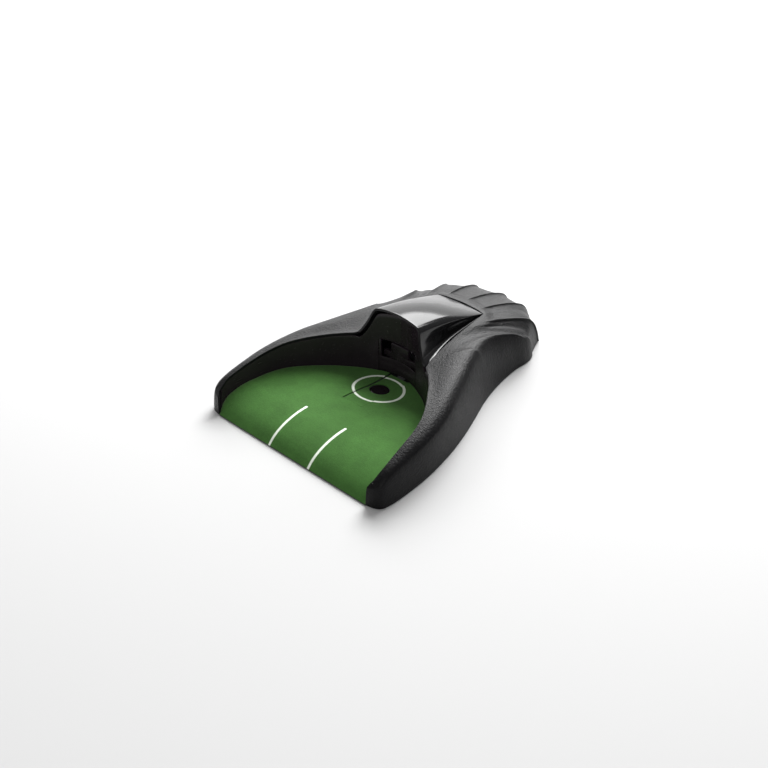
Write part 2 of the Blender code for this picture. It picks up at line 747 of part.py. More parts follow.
RAMP_PROFILE_Y = [0.0, 5.0, 10.0, 16.0, 22.0, 28.0, 35.0, 44.0, 56.0, 66.0, 78.0, 90.0, 109.0, 125.0, 137.0]
RAMP_PROFILE_Z = [0.00, 0.34, 0.57, 0.75, 0.87, 0.95, 1.00, 0.99, 0.96, 0.91, 0.79, 0.60, 0.24, 0.06, 0.0]
RAMP_SWITCH = 6


def felt_height(y):
    """Height of the felt's top: up from the lip to the crest, then down to the rear wall."""
    drawn_y = y * DRAWN_LENGTH / LENGTH
    last = len(RAMP_PROFILE_Y) - 1
    drawn_y = max(0.0, min(RAMP_PROFILE_Y[-1], drawn_y))
    k = max(i for i in range(last) if RAMP_PROFILE_Y[i] <= drawn_y)
    share = (drawn_y - RAMP_PROFILE_Y[k]) / (RAMP_PROFILE_Y[k + 1] - RAMP_PROFILE_Y[k])
    low = RAMP_LIP if k < RAMP_SWITCH else RAMP_REAR
    level = curve_point([(value, 0, 0) for value in RAMP_PROFILE_Z], k + share).x
    return low + (RAMP_CREST - low) * level


def tongue_height(y):
    """The tongue's felt: flush at its hinge, sunk a little at the rear wall."""
    return felt_height(y) - TONGUE_SINK * max(0.0, (y - TONGUE_FRONT) / (TONGUE_REAR - TONGUE_FRONT))


def mouth_half(y, inset):
    """Half the width between the inner walls at y, less a clearance."""
    plan = mouth_points()
    right = plan[: len(plan) // 2 + 1]
    if y <= right[0].y:
        return drawn(MOUTH_HALF_FRONT, 0.0).x - inset
    for a, b in zip(right, right[1:]):
        if a.y <= y <= b.y:
            return a.x + (b.x - a.x) * (y - a.y) / (b.y - a.y) - inset
    return 0.0


def ramp_rows(top_of, thickness, inset, columns=12):
    ends = [drawn(0.0, y).y for y in RAMP_PROFILE_Y]
    stops = ends[:-1] + [drawn(0.0, y).y for y in (3.2, 115.0, 120.0, 128.0, 131.5, 134.2)]
    stops = sorted(stop for stop in stops if stop < REAR_WALL - inset - 0.002) + [REAR_WALL - inset - 0.0012]
    top = []
    bottom = []
    for y in stops:
        half = max(mouth_half(y + inset * 0.8, inset), 0.004)
        z = top_of(y)
        xs = [half * (1 - 2 * k / columns) for k in range(columns + 1)]
        top.append([Vector((x, y, z)) for x in xs])
        bottom.append([Vector((x, y, max(z - thickness, 0.0))) for x in xs])
    return top, bottom


def tongue_slot(name, gap):
    return box(
        name, (-TONGUE_HALF_WIDTH - gap, TONGUE_FRONT - gap, -0.01),
        (TONGUE_HALF_WIDTH + gap, REAR_WALL + 0.02, 0.05), FELT_GREEN,
    )


def pin_place():
    return TONGUE_FRONT + TONGUE_PIN_SETBACK, felt_height(TONGUE_FRONT) - TONGUE_PIN_DROP


def ear(name, x, under):
    """A lug under a plate with room for the tongue's pin, as a plate and the hole through it."""
    y, z = pin_place()
    block = box(
        name, (x - EAR_THICKNESS / 2, y - EAR_RADIUS, z - EAR_RADIUS),
        (x + EAR_THICKNESS / 2, y + EAR_RADIUS, under + 0.0004), INNER_BLACK,
    )
    hole = rod(f"{name}_hole", TONGUE_PIN_RADIUS + GAP, (x - 0.01, y, z), (x + 0.01, y, z), INNER_BLACK, 12)
    return block, hole


def make_ramp():
    drop = FELT_THICKNESS + FELT_GLUE
    top, bottom = ramp_rows(lambda y: max(felt_height(y) - drop, 0.0001), RAMP_THICKNESS, GAP)
    for row_top, row_bottom in zip(top, bottom):
        for upper, lower in zip(row_top, row_bottom):
            lower.z = min(lower.z, upper.z - 0.0001)
            if upper.z - 0.0001 < 0.0:
                lower.z = 0.0
    ramp = slab("ramp_plate", top, bottom, INNER_BLACK)
    cut(ramp, tongue_slot("ramp_slot_cutter", TONGUE_SLOT_GAP))
    y, _ = pin_place()
    under = felt_height(y) - drop - RAMP_THICKNESS
    for side in (-1, 1):
        x = side * (TONGUE_HALF_WIDTH + TONGUE_SLOT_GAP + EAR_THICKNESS / 2 + 0.0004)
        block, hole = ear(f"ramp_ear_{side + 1}", x, under + 0.0004)
        join(ramp, block)
        cut(ramp, hole)
    return ramp


def make_felt():
    top, bottom = ramp_rows(felt_height, FELT_THICKNESS, GAP)
    felt = slab("green_felt", top, bottom, FELT_GREEN)
    cut(felt, tongue_slot("felt_slot_cutter", TONGUE_SLOT_GAP))
    return felt


def tongue_rows(lift, thickness):
    count = 9
    ys = [TONGUE_FRONT + (TONGUE_REAR - TONGUE_FRONT) * k / count for k in range(count + 1)]
    xs = [TONGUE_HALF_WIDTH * side for side in (1, -1)]
    top = [[Vector((x, y, tongue_height(y) - lift)) for x in xs] for y in ys]
    bottom = [[Vector((x, y, tongue_height(y) - lift - thickness)) for x in xs] for y in ys]
    return top, bottom


def target_y():
    return TONGUE_FRONT + TARGET_SETBACK * LENGTH * 1000 / DRAWN_LENGTH


def make_tongue():
    pivot_y, pivot_z = pin_place()
    origin = (0.0, pivot_y, pivot_z)
    drop = FELT_THICKNESS + FELT_GLUE
    top, bottom = tongue_rows(drop, TONGUE_THICKNESS)
    tongue = slab("trigger_tongue", top, bottom, INNER_BLACK, origin)
    under = tongue_height(pivot_y) - drop - TONGUE_THICKNESS
    for side in (-1, 1):
        block, hole = ear(
            f"tongue_ear_{side + 1}", side * (TONGUE_HALF_WIDTH - EAR_THICKNESS), under + 0.0003,
        )
        join(tongue, block)
        cut(tongue, hole)
    y = target_y()
    hole = rod("target_cutter", DOME_RADIUS + GAP, (0, y, -0.01), (0, y, 0.03), INNER_BLACK, 32)
    cut(tongue, hole)
    tail_top = plunger_top() + GAP + 0.0016
    rear = TONGUE_REAR - 0.0040
    level = tongue_height(rear) - drop
    outline = [
        (rear, level - TONGUE_THICKNESS), (REAR_WALL + LINER_WALL + 0.0042, level - TONGUE_THICKNESS),
        (REAR_WALL + LINER_WALL + 0.0042, tail_top - 0.0016), (plunger_y() + 0.0016, tail_top - 0.0016),
        (plunger_y() + 0.0016, tail_top), (REAR_WALL + LINER_WALL + 0.0028, tail_top),
        (REAR_WALL + LINER_WALL + 0.0028, level), (rear, level),
    ]
    tail = prism("tongue_tail", [(a, b) for a, b in outline], -0.0040, 0.0040, INNER_BLACK)
    tail.rotation_euler = Matrix(((0, 0, 1), (1, 0, 0), (0, 1, 0))).to_euler()
    join(tongue, tail)
    return tongue


def make_tongue_felt():
    pivot_y, pivot_z = pin_place()
    top, bottom = tongue_rows(0.0, FELT_THICKNESS)
    felt = slab("tongue_felt", top, bottom, FELT_GREEN, (0.0, pivot_y, pivot_z))
    y = target_y()
    cut(felt, rod("felt_target_cutter", TARGET_RADIUS, (0, y, -0.01), (0, y, 0.03), FELT_GREEN, 32))
    return felt


def make_dome():
    """The dark target dome, snapped into the tongue from below."""
    y = target_y()
    slope = (tongue_height(y + 0.006) - tongue_height(y - 0.006)) / 0.012
    plate_top = -(FELT_THICKNESS + FELT_GLUE)
    plate_bottom = plate_top - TONGUE_THICKNESS
    flange = plate_bottom - GAP
    profile = [
        (0.0, plate_top + 0.0005), (DOME_RADIUS * 0.45, plate_top + 0.0003),
        (DOME_RADIUS * 0.8, plate_top - 0.0003),
        (DOME_RADIUS - 0.0002, plate_top - 0.0010), (DOME_RADIUS - 0.0002, flange),
        (DOME_RADIUS + 0.0008, flange), (DOME_RADIUS + 0.0008, flange - 0.0006), (0.0, flange - 0.0006),
    ]
    return turned(
        "target_dome", profile, (0.0, y, tongue_height(y)), DARK_DOME, 32, (math.atan(slope), 0.0, 0.0)
    )


def make_tongue_hinge():
    y, z = pin_place()
    half = TONGUE_HALF_WIDTH + TONGUE_SLOT_GAP + EAR_THICKNESS + 0.0006
    rod("tongue_pin", TONGUE_PIN_RADIUS, (-half, y, z), (half, y, z), STEEL, 16)
    radius = 0.0018
    length = 0.0050
    coil(
        "tongue_spring", radius, 0.00025, 3.5, length, (-length / 2, y, z), (1, 0, 0), STEEL,
        legs=((-0.0004, 0.0085, -0.0006), (length + 0.0004, -0.0080, 0.0019)),
    )


# ---------------------------------------------------------------- kicker


def head_front():
    return REAR_WALL - 0.0006


def make_kicker():
    front = head_front()
    reach = WINDOW_HALF_WIDTH - PANEL_POST - 0.0006
    bar = box(
        "kicker_bar", (-reach, front, BAR_BOTTOM), (reach, front + BAR_DEPTH, BAR_TOP), LINER_BLACK, 0.0005
    )
    spindle_z = (ROD_BOTTOM + ROD_TOP) / 2
    neck = rod(
        "bar_neck", SPINDLE_RADIUS, (0, front + 0.001, spindle_z), (0, rack_start() - GAP, spindle_z),
        LINER_BLACK, 16,
    )
    join(bar, neck)
    box(
        "kicker_block", (-BLOCK_HALF_WIDTH, front - 0.0012, BAR_TOP + GAP),
        (BLOCK_HALF_WIDTH, front + BAR_DEPTH, BLOCK_TOP), LINER_BLACK, 0.0006,
    )
    make_rack()
    spring_start = front + BAR_DEPTH + SPRING_WIRE + GAP
    spring_end = REAR_WALL + GUIDE_FRONT_SETBACK - SPRING_WIRE - GAP
    coil(
        "kicker_spring", SPRING_RADIUS, SPRING_WIRE, SPRING_TURNS, spring_end - spring_start,
        (0.0, spring_start, spindle_z), (0, 1, 0), STEEL,
    )


def rack_pitch():
    return math.pi * RACK_MODULE


def rack_start():
    """Just behind the front guide when the kicker is fully out."""
    return REAR_WALL + GUIDE_FRONT_SETBACK + GUIDE_DEPTH + KICKER_TRAVEL + 0.0005


def make_rack():
    """The square guide rod, toothed on its left side, with a tooth gap centred on the gear."""
    start = rack_start()
    end = start + ROD_LENGTH
    pitch = rack_pitch()
    root = ROD_HALF_WIDTH - 1.25 * RACK_MODULE
    tip = ROD_HALF_WIDTH + 0.9 * RACK_MODULE
    half_root = pitch / 4 + 0.35 * RACK_MODULE - TOOTH_BACKLASH / 2
    half_tip = pitch / 4 - 0.36 * RACK_MODULE - TOOTH_BACKLASH / 2
    outline = [(ROD_HALF_WIDTH, start), (ROD_HALF_WIDTH, end), (-root, end)]
    first = math.ceil((start + pitch / 2 - GEAR_Y) / pitch - 0.5)
    last = math.floor((end - pitch / 2 - GEAR_Y) / pitch - 0.5)
    for k in range(last, first - 1, -1):
        middle = GEAR_Y + (k + 0.5) * pitch
        outline += [
            (-root, middle + half_root), (-tip, middle + half_tip), (-tip, middle - half_tip),
            (-root, middle - half_root),
        ]
    outline.append((-root, start))
    return prism("kicker_rack", outline, ROD_BOTTOM, ROD_TOP, GEAR_WHITE)


def make_guides():
    """Two posts that the kicker's rod slides through; the front one spans the trigger switch."""
    spindle_z = (ROD_BOTTOM + ROD_TOP) / 2
    front = REAR_WALL + GUIDE_FRONT_SETBACK
    guide = box(
        "guide_front", (-GUIDE_HALF_WIDTH, front, FLOOR_SEAT),
        (GUIDE_HALF_WIDTH, front + GUIDE_DEPTH, GUIDE_TOP),
        INNER_BLACK, 0.0004,
    )
    slot = 0.0004
    cut(guide, rod(
        "guide_front_hole", SPINDLE_RADIUS + GAP, (0, front - 0.01, spindle_z), (0, front + 0.01, spindle_z),
        INNER_BLACK, 16,
    ))
    cut(guide, box(
        "guide_front_arch", (-SWITCH_WIDTH / 2 - 0.0012, front - 0.01, -0.01),
        (SWITCH_WIDTH / 2 + 0.0012, front + 0.02, FLOOR_SEAT + SWITCH_HEIGHT + 0.0015), INNER_BLACK,
    ))
    rear = REAR_WALL + GUIDE_REAR_SETBACK
    guide = box(
        "guide_rear", (0.0, rear, FLOOR_SEAT), (GUIDE_HALF_WIDTH, rear + GUIDE_REAR_DEPTH, GUIDE_TOP),
        INNER_BLACK, 0.0004,
    )
    cut(guide, box(
        "guide_rear_slot", (-ROD_HALF_WIDTH - RACK_MODULE - slot, rear - 0.01, ROD_BOTTOM - slot),
        (ROD_HALF_WIDTH + slot, rear + 0.02, ROD_TOP + slot), INNER_BLACK,
    ))


# ---------------------------------------------------------------- gear train


def gear_outline(teeth, module, turn, gap_from=None, gap_to=None):
    """Plan outline of a spur gear with straight-sided teeth; no teeth between two angles."""
    pitch_radius = teeth * module / 2
    root = pitch_radius - 1.25 * module
    tip = pitch_radius + 0.9 * module
    step = math.tau / teeth
    half_pitch = step / 4 - TOOTH_BACKLASH / 2 / pitch_radius
    half_root = half_pitch + 0.30 * module / pitch_radius
    half_tip = half_pitch - 0.36 * module / pitch_radius
    points = []
    for k in range(teeth):
        middle = turn + k * step
        bare = gap_from is not None and gap_from < math.degrees(k * step) < gap_to
        offsets = ((-half_root, root), (half_root, root)) if bare else (
            (-half_root, root), (-half_tip, tip), (half_tip, tip), (half_root, root),
        )
        for off, radius in offsets:
            points.append((radius * math.cos(middle + off), radius * math.sin(middle + off)))
    return points


def shifted(points, x, y):
    return [(px + x, py + y) for px, py in points]


def bored(gear, x, y):
    hole = rod(f"{gear.name}_bore", SHAFT_RADIUS + GAP / 2, (x, y, -0.01), (x, y, 0.06), INNER_BLACK, 16)
    cut(gear, hole)


def make_gears():
    # The rack gear has a tooth on the line to the rack, where the rack has a gap.
    origin = (GEAR_X, GEAR_Y, 0.0)
    upper = gear_outline(RACK_GEAR_TEETH, RACK_MODULE, 0.0, 130.0, 300.0)
    kicker_gear = prism(
        "kicker_gear", shifted(upper, GEAR_X, GEAR_Y), WHEEL_TOP - 0.0002, ROD_TOP, GEAR_WHITE, origin
    )
    # The wheel below it has a gap on the line to the idler.
    wheel = gear_outline(WHEEL_TEETH, TRAIN_MODULE, math.pi + math.pi / WHEEL_TEETH)
    join(
        kicker_gear,
        prism("kicker_wheel", shifted(wheel, GEAR_X, GEAR_Y), WHEEL_BOTTOM, WHEEL_TOP, GEAR_WHITE),
    )
    hub = rod(
        "kicker_hub", 0.0034, (GEAR_X, GEAR_Y, FLOOR_SEAT + 0.006),
        (GEAR_X, GEAR_Y, BRACKET_BOTTOM - 0.0006), GEAR_WHITE,
    )
    join(kicker_gear, hub)
    bored(kicker_gear, GEAR_X, GEAR_Y)

    origin = (IDLER_X, GEAR_Y, 0.0)
    small = gear_outline(SMALL_TEETH, TRAIN_MODULE, 0.0)
    idler = prism(
        "reduction_gear", shifted(small, IDLER_X, GEAR_Y), WHEEL_BOTTOM - 0.0006, PINION_BOTTOM + 0.0010,
        GEAR_WHITE, origin,
    )
    towards_motor = math.atan2(MOTOR_Y - GEAR_Y, MOTOR_X - IDLER_X)
    large = gear_outline(WHEEL_TEETH, TRAIN_MODULE, towards_motor + math.pi / WHEEL_TEETH)
    join(idler, prism(
        "reduction_wheel", shifted(large, IDLER_X, GEAR_Y), PINION_BOTTOM + GAP, PINION_TOP - GAP,
        GEAR_WHITE,
    ))
    bored(idler, IDLER_X, GEAR_Y)

    origin = (MOTOR_X, MOTOR_Y, 0.0)
    pinion = gear_outline(PINION_TEETH, TRAIN_MODULE, towards_motor + math.pi)
    pinion = prism(
        "motor_pinion", shifted(pinion, MOTOR_X, MOTOR_Y), PINION_BOTTOM, PINION_TOP, BRASS, origin,
    )
    cut(pinion, rod(
        "pinion_bore", 0.0010 + GAP / 2, (MOTOR_X, MOTOR_Y, -0.01), (MOTOR_X, MOTOR_Y, 0.06), BRASS, 12
    ))

    motor = rod(
        "drive_motor", MOTOR_RADIUS, (MOTOR_X, MOTOR_Y, FLOOR_SEAT),
        (MOTOR_X, MOTOR_Y, MOTOR_TOP - 0.0014), STEEL, 32,
    )
    nose = rod(
        "motor_nose", 0.0030, (MOTOR_X, MOTOR_Y, MOTOR_TOP - 0.002), (MOTOR_X, MOTOR_Y, MOTOR_TOP),
        STEEL, 16,
    )
    spindle = rod(
        "motor_spindle", 0.0010, (MOTOR_X, MOTOR_Y, MOTOR_TOP - 0.001), (MOTOR_X, MOTOR_Y, PINION_TOP),
        STEEL, 12,
    )
    join(motor, nose)
    join(motor, spindle)
    for name, x in (("kicker_gear_shaft", GEAR_X), ("reduction_shaft", IDLER_X)):
        rod(
            name, SHAFT_RADIUS, (x, GEAR_Y, FLOOR_SEAT), (x, GEAR_Y, BRACKET_BOTTOM + BRACKET_THICKNESS),
            STEEL, 16,
        )


def make_bracket():
    """The plate over the gears: it holds both shafts and stands on two legs."""
    left = IDLER_X - WHEEL_RADIUS - 0.0040
    right = GEAR_X + 0.0052
    front = GEAR_Y - 0.0050
    rear = GEAR_Y + 0.0050
    top = BRACKET_BOTTOM + BRACKET_THICKNESS
    bracket = box("gear_bracket", (left, front, BRACKET_BOTTOM), (right, rear, top), STEEL)
    foot = box("bracket_leg", (left, front, FLOOR_SEAT), (left + 0.0016, rear, top - 0.0002), STEEL)
    join(bracket, foot)
    for x in (GEAR_X, IDLER_X):
        hole = rod(
            f"bracket_hole_{x:.3f}", SHAFT_RADIUS + GAP, (x, GEAR_Y, -0.01), (x, GEAR_Y, 0.06),
            STEEL, 16,
        )
        cut(bracket, hole)
    return bracket


# ---------------------------------------------------------------- switches and board


def plunger_y():
    return REAR_WALL + PLUNGER_SETBACK


def plunger_top():
    return FLOOR_SEAT + SWITCH_HEIGHT + PLUNGER_HEIGHT


def make_trigger_switch():
    start = plunger_y() - 0.0030
    half = SWITCH_WIDTH / 2
    body = box(
        "trigger_switch", (-half, start, FLOOR_SEAT),
        (half, start + SWITCH_LENGTH, FLOOR_SEAT + SWITCH_HEIGHT),
        INNER_BLACK, 0.0003,
    )
    y = plunger_y()
    depth = 0.0040
    top = FLOOR_SEAT + SWITCH_HEIGHT
    well = rod(
        "plunger_well", PLUNGER_RADIUS + GAP / 2, (0, y, top - depth), (0, y, top + 0.01),
        INNER_BLACK, 16,
    )
    cut(body, well)
    plunger = rod(
        "switch_plunger", PLUNGER_RADIUS, (0, y, top - depth + 0.0018), (0, y, plunger_top()),
        SWITCH_RED, 16,
    )
    return plunger


def board_centre():
    return BOARD_CENTRE[0], REAR_WALL + BOARD_CENTRE[1]


def make_board():
    x, y = board_centre()
    half_x = BOARD_SIZE[0] / 2
    half_y = BOARD_SIZE[1] / 2
    box(
        "circuit_board", (x - half_x, y - half_y, BOARD_HEIGHT),
        (x + half_x, y + half_y, BOARD_HEIGHT + BOARD_SIZE[2]),
        BOARD_GREEN,
    )


def make_power_switch():
    x, y = POWER_PLACE[0], REAR_WALL + POWER_PLACE[1]
    half_x = POWER_BODY[0] / 2
    half_y = POWER_BODY[1] / 2
    body = box(
        "power_switch", (x - half_x, y - half_y, FLOOR_SEAT),
        (x + half_x, y + half_y, FLOOR_SEAT + POWER_BODY[2]), STEEL,
    )
    room = KNOB_SIZE[0] / 2 + KNOB_TRAVEL / 2 + GAP
    inner = KNOB_SIZE[1] / 2 + GAP
    cut(
        body,
        box("switch_room", (x - room, y - inner, -0.01), (x + room, y + inner, FLOOR_SEAT + 0.0022), STEEL),
    )
    knob_x = x - KNOB_TRAVEL / 2
    knob = box(
        "power_slider", (knob_x - KNOB_SIZE[0] / 2, y - KNOB_SIZE[1] / 2, 0.0004),
        (knob_x + KNOB_SIZE[0] / 2, y + KNOB_SIZE[1] / 2, FLOOR_SEAT + 0.0018), SWITCH_RED, 0.0003,
        origin=(knob_x, y, BASE_BOTTOM),
    )
    return knob


# ---------------------------------------------------------------- battery box


def box_front():
    return REAR_WALL + BOX_SETBACK


def box_inner_half():
    return CELL_LENGTH + CELL_GAP / 2 + CONTACT_ROOM


def box_depth():
    return CELL_ROWS * 2 * CELL_RADIUS + (CELL_ROWS + 1) * CELL_GAP


def cell_y(row):
    return box_front() + CELL_GAP + CELL_RADIUS + row * (2 * CELL_RADIUS + CELL_GAP)


def cell_z():
    return BASE_TOP + CELL_GAP + CELL_RADIUS


def make_battery_box():
    half = box_inner_half() + BOX_WALL
    ceiling = cell_z() + CELL_RADIUS + CELL_GAP
    case = box(
        "battery_box", (-half, box_front() - BOX_WALL, FLOOR_SEAT),
        (half, box_front() + box_depth() + BOX_WALL, ceiling + BOX_WALL), INNER_BLACK,
    )
    cut(case, box(
        "battery_room", (-half + BOX_WALL, box_front(), -0.01),
        (half - BOX_WALL, box_front() + box_depth(), ceiling),
        INNER_BLACK,
    ))
    nub = 0.0012
    for row in range(CELL_ROWS):
        for column in range(2):
            towards = 1 if (row + column) % 2 else -1
            middle = (column - 0.5) * (CELL_LENGTH + CELL_GAP)
            start = Vector((middle - towards * CELL_LENGTH / 2, cell_y(row), cell_z()))
            profile = [
                (0.0, CELL_LENGTH), (0.0027, CELL_LENGTH), (0.0027, CELL_LENGTH - nub),
                (CELL_RADIUS - 0.0006, CELL_LENGTH - nub), (CELL_RADIUS, CELL_LENGTH - nub - 0.0006),
                (CELL_RADIUS, 0.0003), (CELL_RADIUS - 0.0003, 0.0), (0.0, 0.0),
            ]
            turned(
                f"cell_{2 * row + column + 1}", profile, start, CELL_GREY, 24,
                (0.0, towards * math.pi / 2, 0.0),
            )
    width = box_depth() - 2 * CELL_GAP
    for side, name in ((-1, "contact_left"), (1, "contact_right")):
        near = side * (CELL_LENGTH + CELL_GAP / 2 + GAP)
        far = near + side * CONTACT_THICKNESS
        box(
            name, (min(near, far), box_front() + CELL_GAP, cell_z() - 0.005),
            (max(near, far), box_front() + CELL_GAP + width, cell_z() + 0.005), STEEL,
        )


def door_outline(gap):
    half = box_inner_half() - DOOR_MARGIN + gap
    front = box_front() + DOOR_MARGIN * 0.3 - gap
    rear = box_front() + box_depth() - DOOR_MARGIN * 0.3 + gap
    return -half, half, front, rear


def make_battery_door():
    left, right, front, rear = door_outline(0.0)
    return box(
        "battery_door", (left, front, BASE_BOTTOM), (right, rear, BASE_TOP), MATT_BLACK, 0.0,
        origin=(0.0, front, BASE_BOTTOM),
    )


# ---------------------------------------------------------------- base, feet and screws


def base_outline():
    """The floor line moved in by the shell's wall and a gap, closed across the mouth."""
    clearance = SHELL_WALL + 0.0009
    right = []
    for k in range(3 * 2, TAIL * 2 + 1):
        place = k / 2
        here = curve_point(FLOOR_LINE, place)
        before = curve_point(FLOOR_LINE, max(0.0, place - 0.1))
        after = curve_point(FLOOR_LINE, min(float(TAIL), place + 0.1))
        along = (after - before).normalized()
        rib = straight_point([(value, 0.0, 0.0) for value in RIB_LINE], place).x
        sunk = RIB_DEPTH if rib < 3.6 else rib_sink(here, rib) + 0.0004
        inward = Vector((-along.y, along.x, 0.0)) * (clearance + sunk)
        spot = here + inward
        right.append((spot.x, spot.y))
    right[-1] = (0.0, right[-1][1])
    left = [(-x, y) for x, y in reversed(right[:-1])]
    return right + left


def make_base():
    base = prism("base_plate", base_outline(), BASE_BOTTOM, BASE_TOP, MATT_BLACK)
    left, right, front, rear = door_outline(DOOR_GAP)
    cut(base, box("door_cutter", (left, front, -0.01), (right, rear, 0.02), MATT_BLACK))
    x, y = POWER_PLACE[0], REAR_WALL + POWER_PLACE[1]
    half_x = KNOB_SIZE[0] / 2 + KNOB_TRAVEL / 2 + GAP
    half_y = KNOB_SIZE[1] / 2 + GAP
    cut(
        base,
        box("slider_cutter", (x - half_x, y - half_y, -0.01), (x + half_x, y + half_y, 0.02), MATT_BLACK),
    )
    for k, (sx, sy) in enumerate(screw_places()):
        hole = rod(
            f"base_hole_{k}", SCREW_RADIUS + SCREW_CLEARANCE, (sx, sy, -0.01), (sx, sy, 0.02),
            MATT_BLACK, 12,
        )
        cut(base, hole)
    bx, by = board_centre()
    for k, (dx, dy) in enumerate(((-1, -1), (1, -1), (-1, 1), (1, 1))):
        px = bx + dx * (BOARD_SIZE[0] / 2 - 0.003)
        py = by + dy * (BOARD_SIZE[1] / 2 - 0.003)
        post = rod(
            f"board_post_{k}", 0.0018, (px, py, BASE_TOP - 0.0005), (px, py, BOARD_HEIGHT - GAP),
            MATT_BLACK, 12,
        )
        join(base, post)


def make_feet_and_screws():
    for k, (x, y) in enumerate(foot_places()):
        profile = [
            (0.0, FOOT_HEIGHT), (FOOT_RADIUS, FOOT_HEIGHT), (FOOT_RADIUS, 0.0002),
            (FOOT_RADIUS - 0.0003, 0.0), (0.0, 0.0),
        ]
        turned(f"rubber_foot_{k + 1}", profile, (x, y, 0.0), RUBBER, 20)
    under = BASE_BOTTOM - 0.0002
    for k, (x, y) in enumerate(screw_places()):
        profile = [
            (0.0, SCREW_LENGTH), (SCREW_RADIUS, SCREW_LENGTH - 0.0008), (SCREW_RADIUS, 0.0),
            (SCREW_HEAD_RADIUS, 0.0), (SCREW_HEAD_RADIUS, -SCREW_HEAD), (0.0, -SCREW_HEAD),
        ]
        turned(f"case_screw_{k + 1}", profile, (x, y, under), STEEL, 12)


# ---------------------------------------------------------------- assembly

make_shell()
make_hood()
make_cup_wall()
make_kicker_panel()
make_ramp()
make_felt()
make_tongue()
make_tongue_felt()
make_dome()
make_tongue_hinge()
make_kicker()
make_guides()
make_gears()
make_bracket()
make_trigger_switch()
make_board()
make_power_switch()
make_battery_box()
make_battery_door()
make_base()
make_feet_and_screws()
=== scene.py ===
"""A battery putting cup: housing, hood, inner wall, felt ramp, kicker, underside and drive."""

import json
import math

import bmesh
import bpy
from bpy.props import FloatProperty, FloatVectorProperty, IntProperty, PointerProperty
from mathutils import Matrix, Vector

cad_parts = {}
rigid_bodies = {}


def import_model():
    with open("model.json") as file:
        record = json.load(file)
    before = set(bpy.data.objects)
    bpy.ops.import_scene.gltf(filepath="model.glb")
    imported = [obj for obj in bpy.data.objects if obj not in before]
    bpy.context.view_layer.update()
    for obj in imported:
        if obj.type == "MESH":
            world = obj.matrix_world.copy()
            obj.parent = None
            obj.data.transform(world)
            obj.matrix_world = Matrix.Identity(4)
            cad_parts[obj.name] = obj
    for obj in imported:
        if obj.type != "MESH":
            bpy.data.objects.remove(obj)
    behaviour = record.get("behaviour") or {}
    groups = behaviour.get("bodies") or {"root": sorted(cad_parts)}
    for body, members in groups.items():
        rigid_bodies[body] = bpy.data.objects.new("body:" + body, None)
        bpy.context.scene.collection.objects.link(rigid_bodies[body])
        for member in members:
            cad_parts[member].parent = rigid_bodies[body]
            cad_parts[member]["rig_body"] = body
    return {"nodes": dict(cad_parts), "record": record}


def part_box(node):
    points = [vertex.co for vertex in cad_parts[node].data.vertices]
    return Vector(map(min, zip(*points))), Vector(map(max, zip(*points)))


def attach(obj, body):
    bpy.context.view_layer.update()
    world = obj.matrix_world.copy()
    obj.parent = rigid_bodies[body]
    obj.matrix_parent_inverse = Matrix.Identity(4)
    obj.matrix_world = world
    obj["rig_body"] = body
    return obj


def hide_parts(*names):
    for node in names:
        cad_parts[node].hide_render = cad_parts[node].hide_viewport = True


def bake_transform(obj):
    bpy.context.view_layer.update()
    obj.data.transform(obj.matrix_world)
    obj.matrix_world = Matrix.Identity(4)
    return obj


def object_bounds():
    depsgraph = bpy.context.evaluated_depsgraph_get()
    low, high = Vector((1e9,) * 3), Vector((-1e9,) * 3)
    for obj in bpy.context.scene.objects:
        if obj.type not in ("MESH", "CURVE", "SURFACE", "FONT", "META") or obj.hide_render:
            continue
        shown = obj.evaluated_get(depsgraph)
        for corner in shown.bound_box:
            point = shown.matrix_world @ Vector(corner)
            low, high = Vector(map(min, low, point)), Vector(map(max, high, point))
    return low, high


bl_info = {
    "name": "Putting Cup",
    "version": (1, 0, 0),
    "blender": (4, 5, 0),
    "location": "View3D > Sidebar > Putting Cup",
    "description": "Builds the visible pieces of a ball-return putting cup round its packed frame",
    "category": "Add Mesh",
}

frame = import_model()
NODES = frame["nodes"]
CAD_BOX = [list(corner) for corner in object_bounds()]
FRONT = CAD_BOX[0][1]
MM = 0.001
FAR = 10.0

CAMERA_PLACE = (0.46002, -0.55143, 0.50910)
CAMERA_AIM = (-0.010138, -0.023789, 0.0)
CAMERA_LENS = 46.225
FLOOR_ROOM = 0.2 * MM

# ---------------- drawn shape, in millimetres

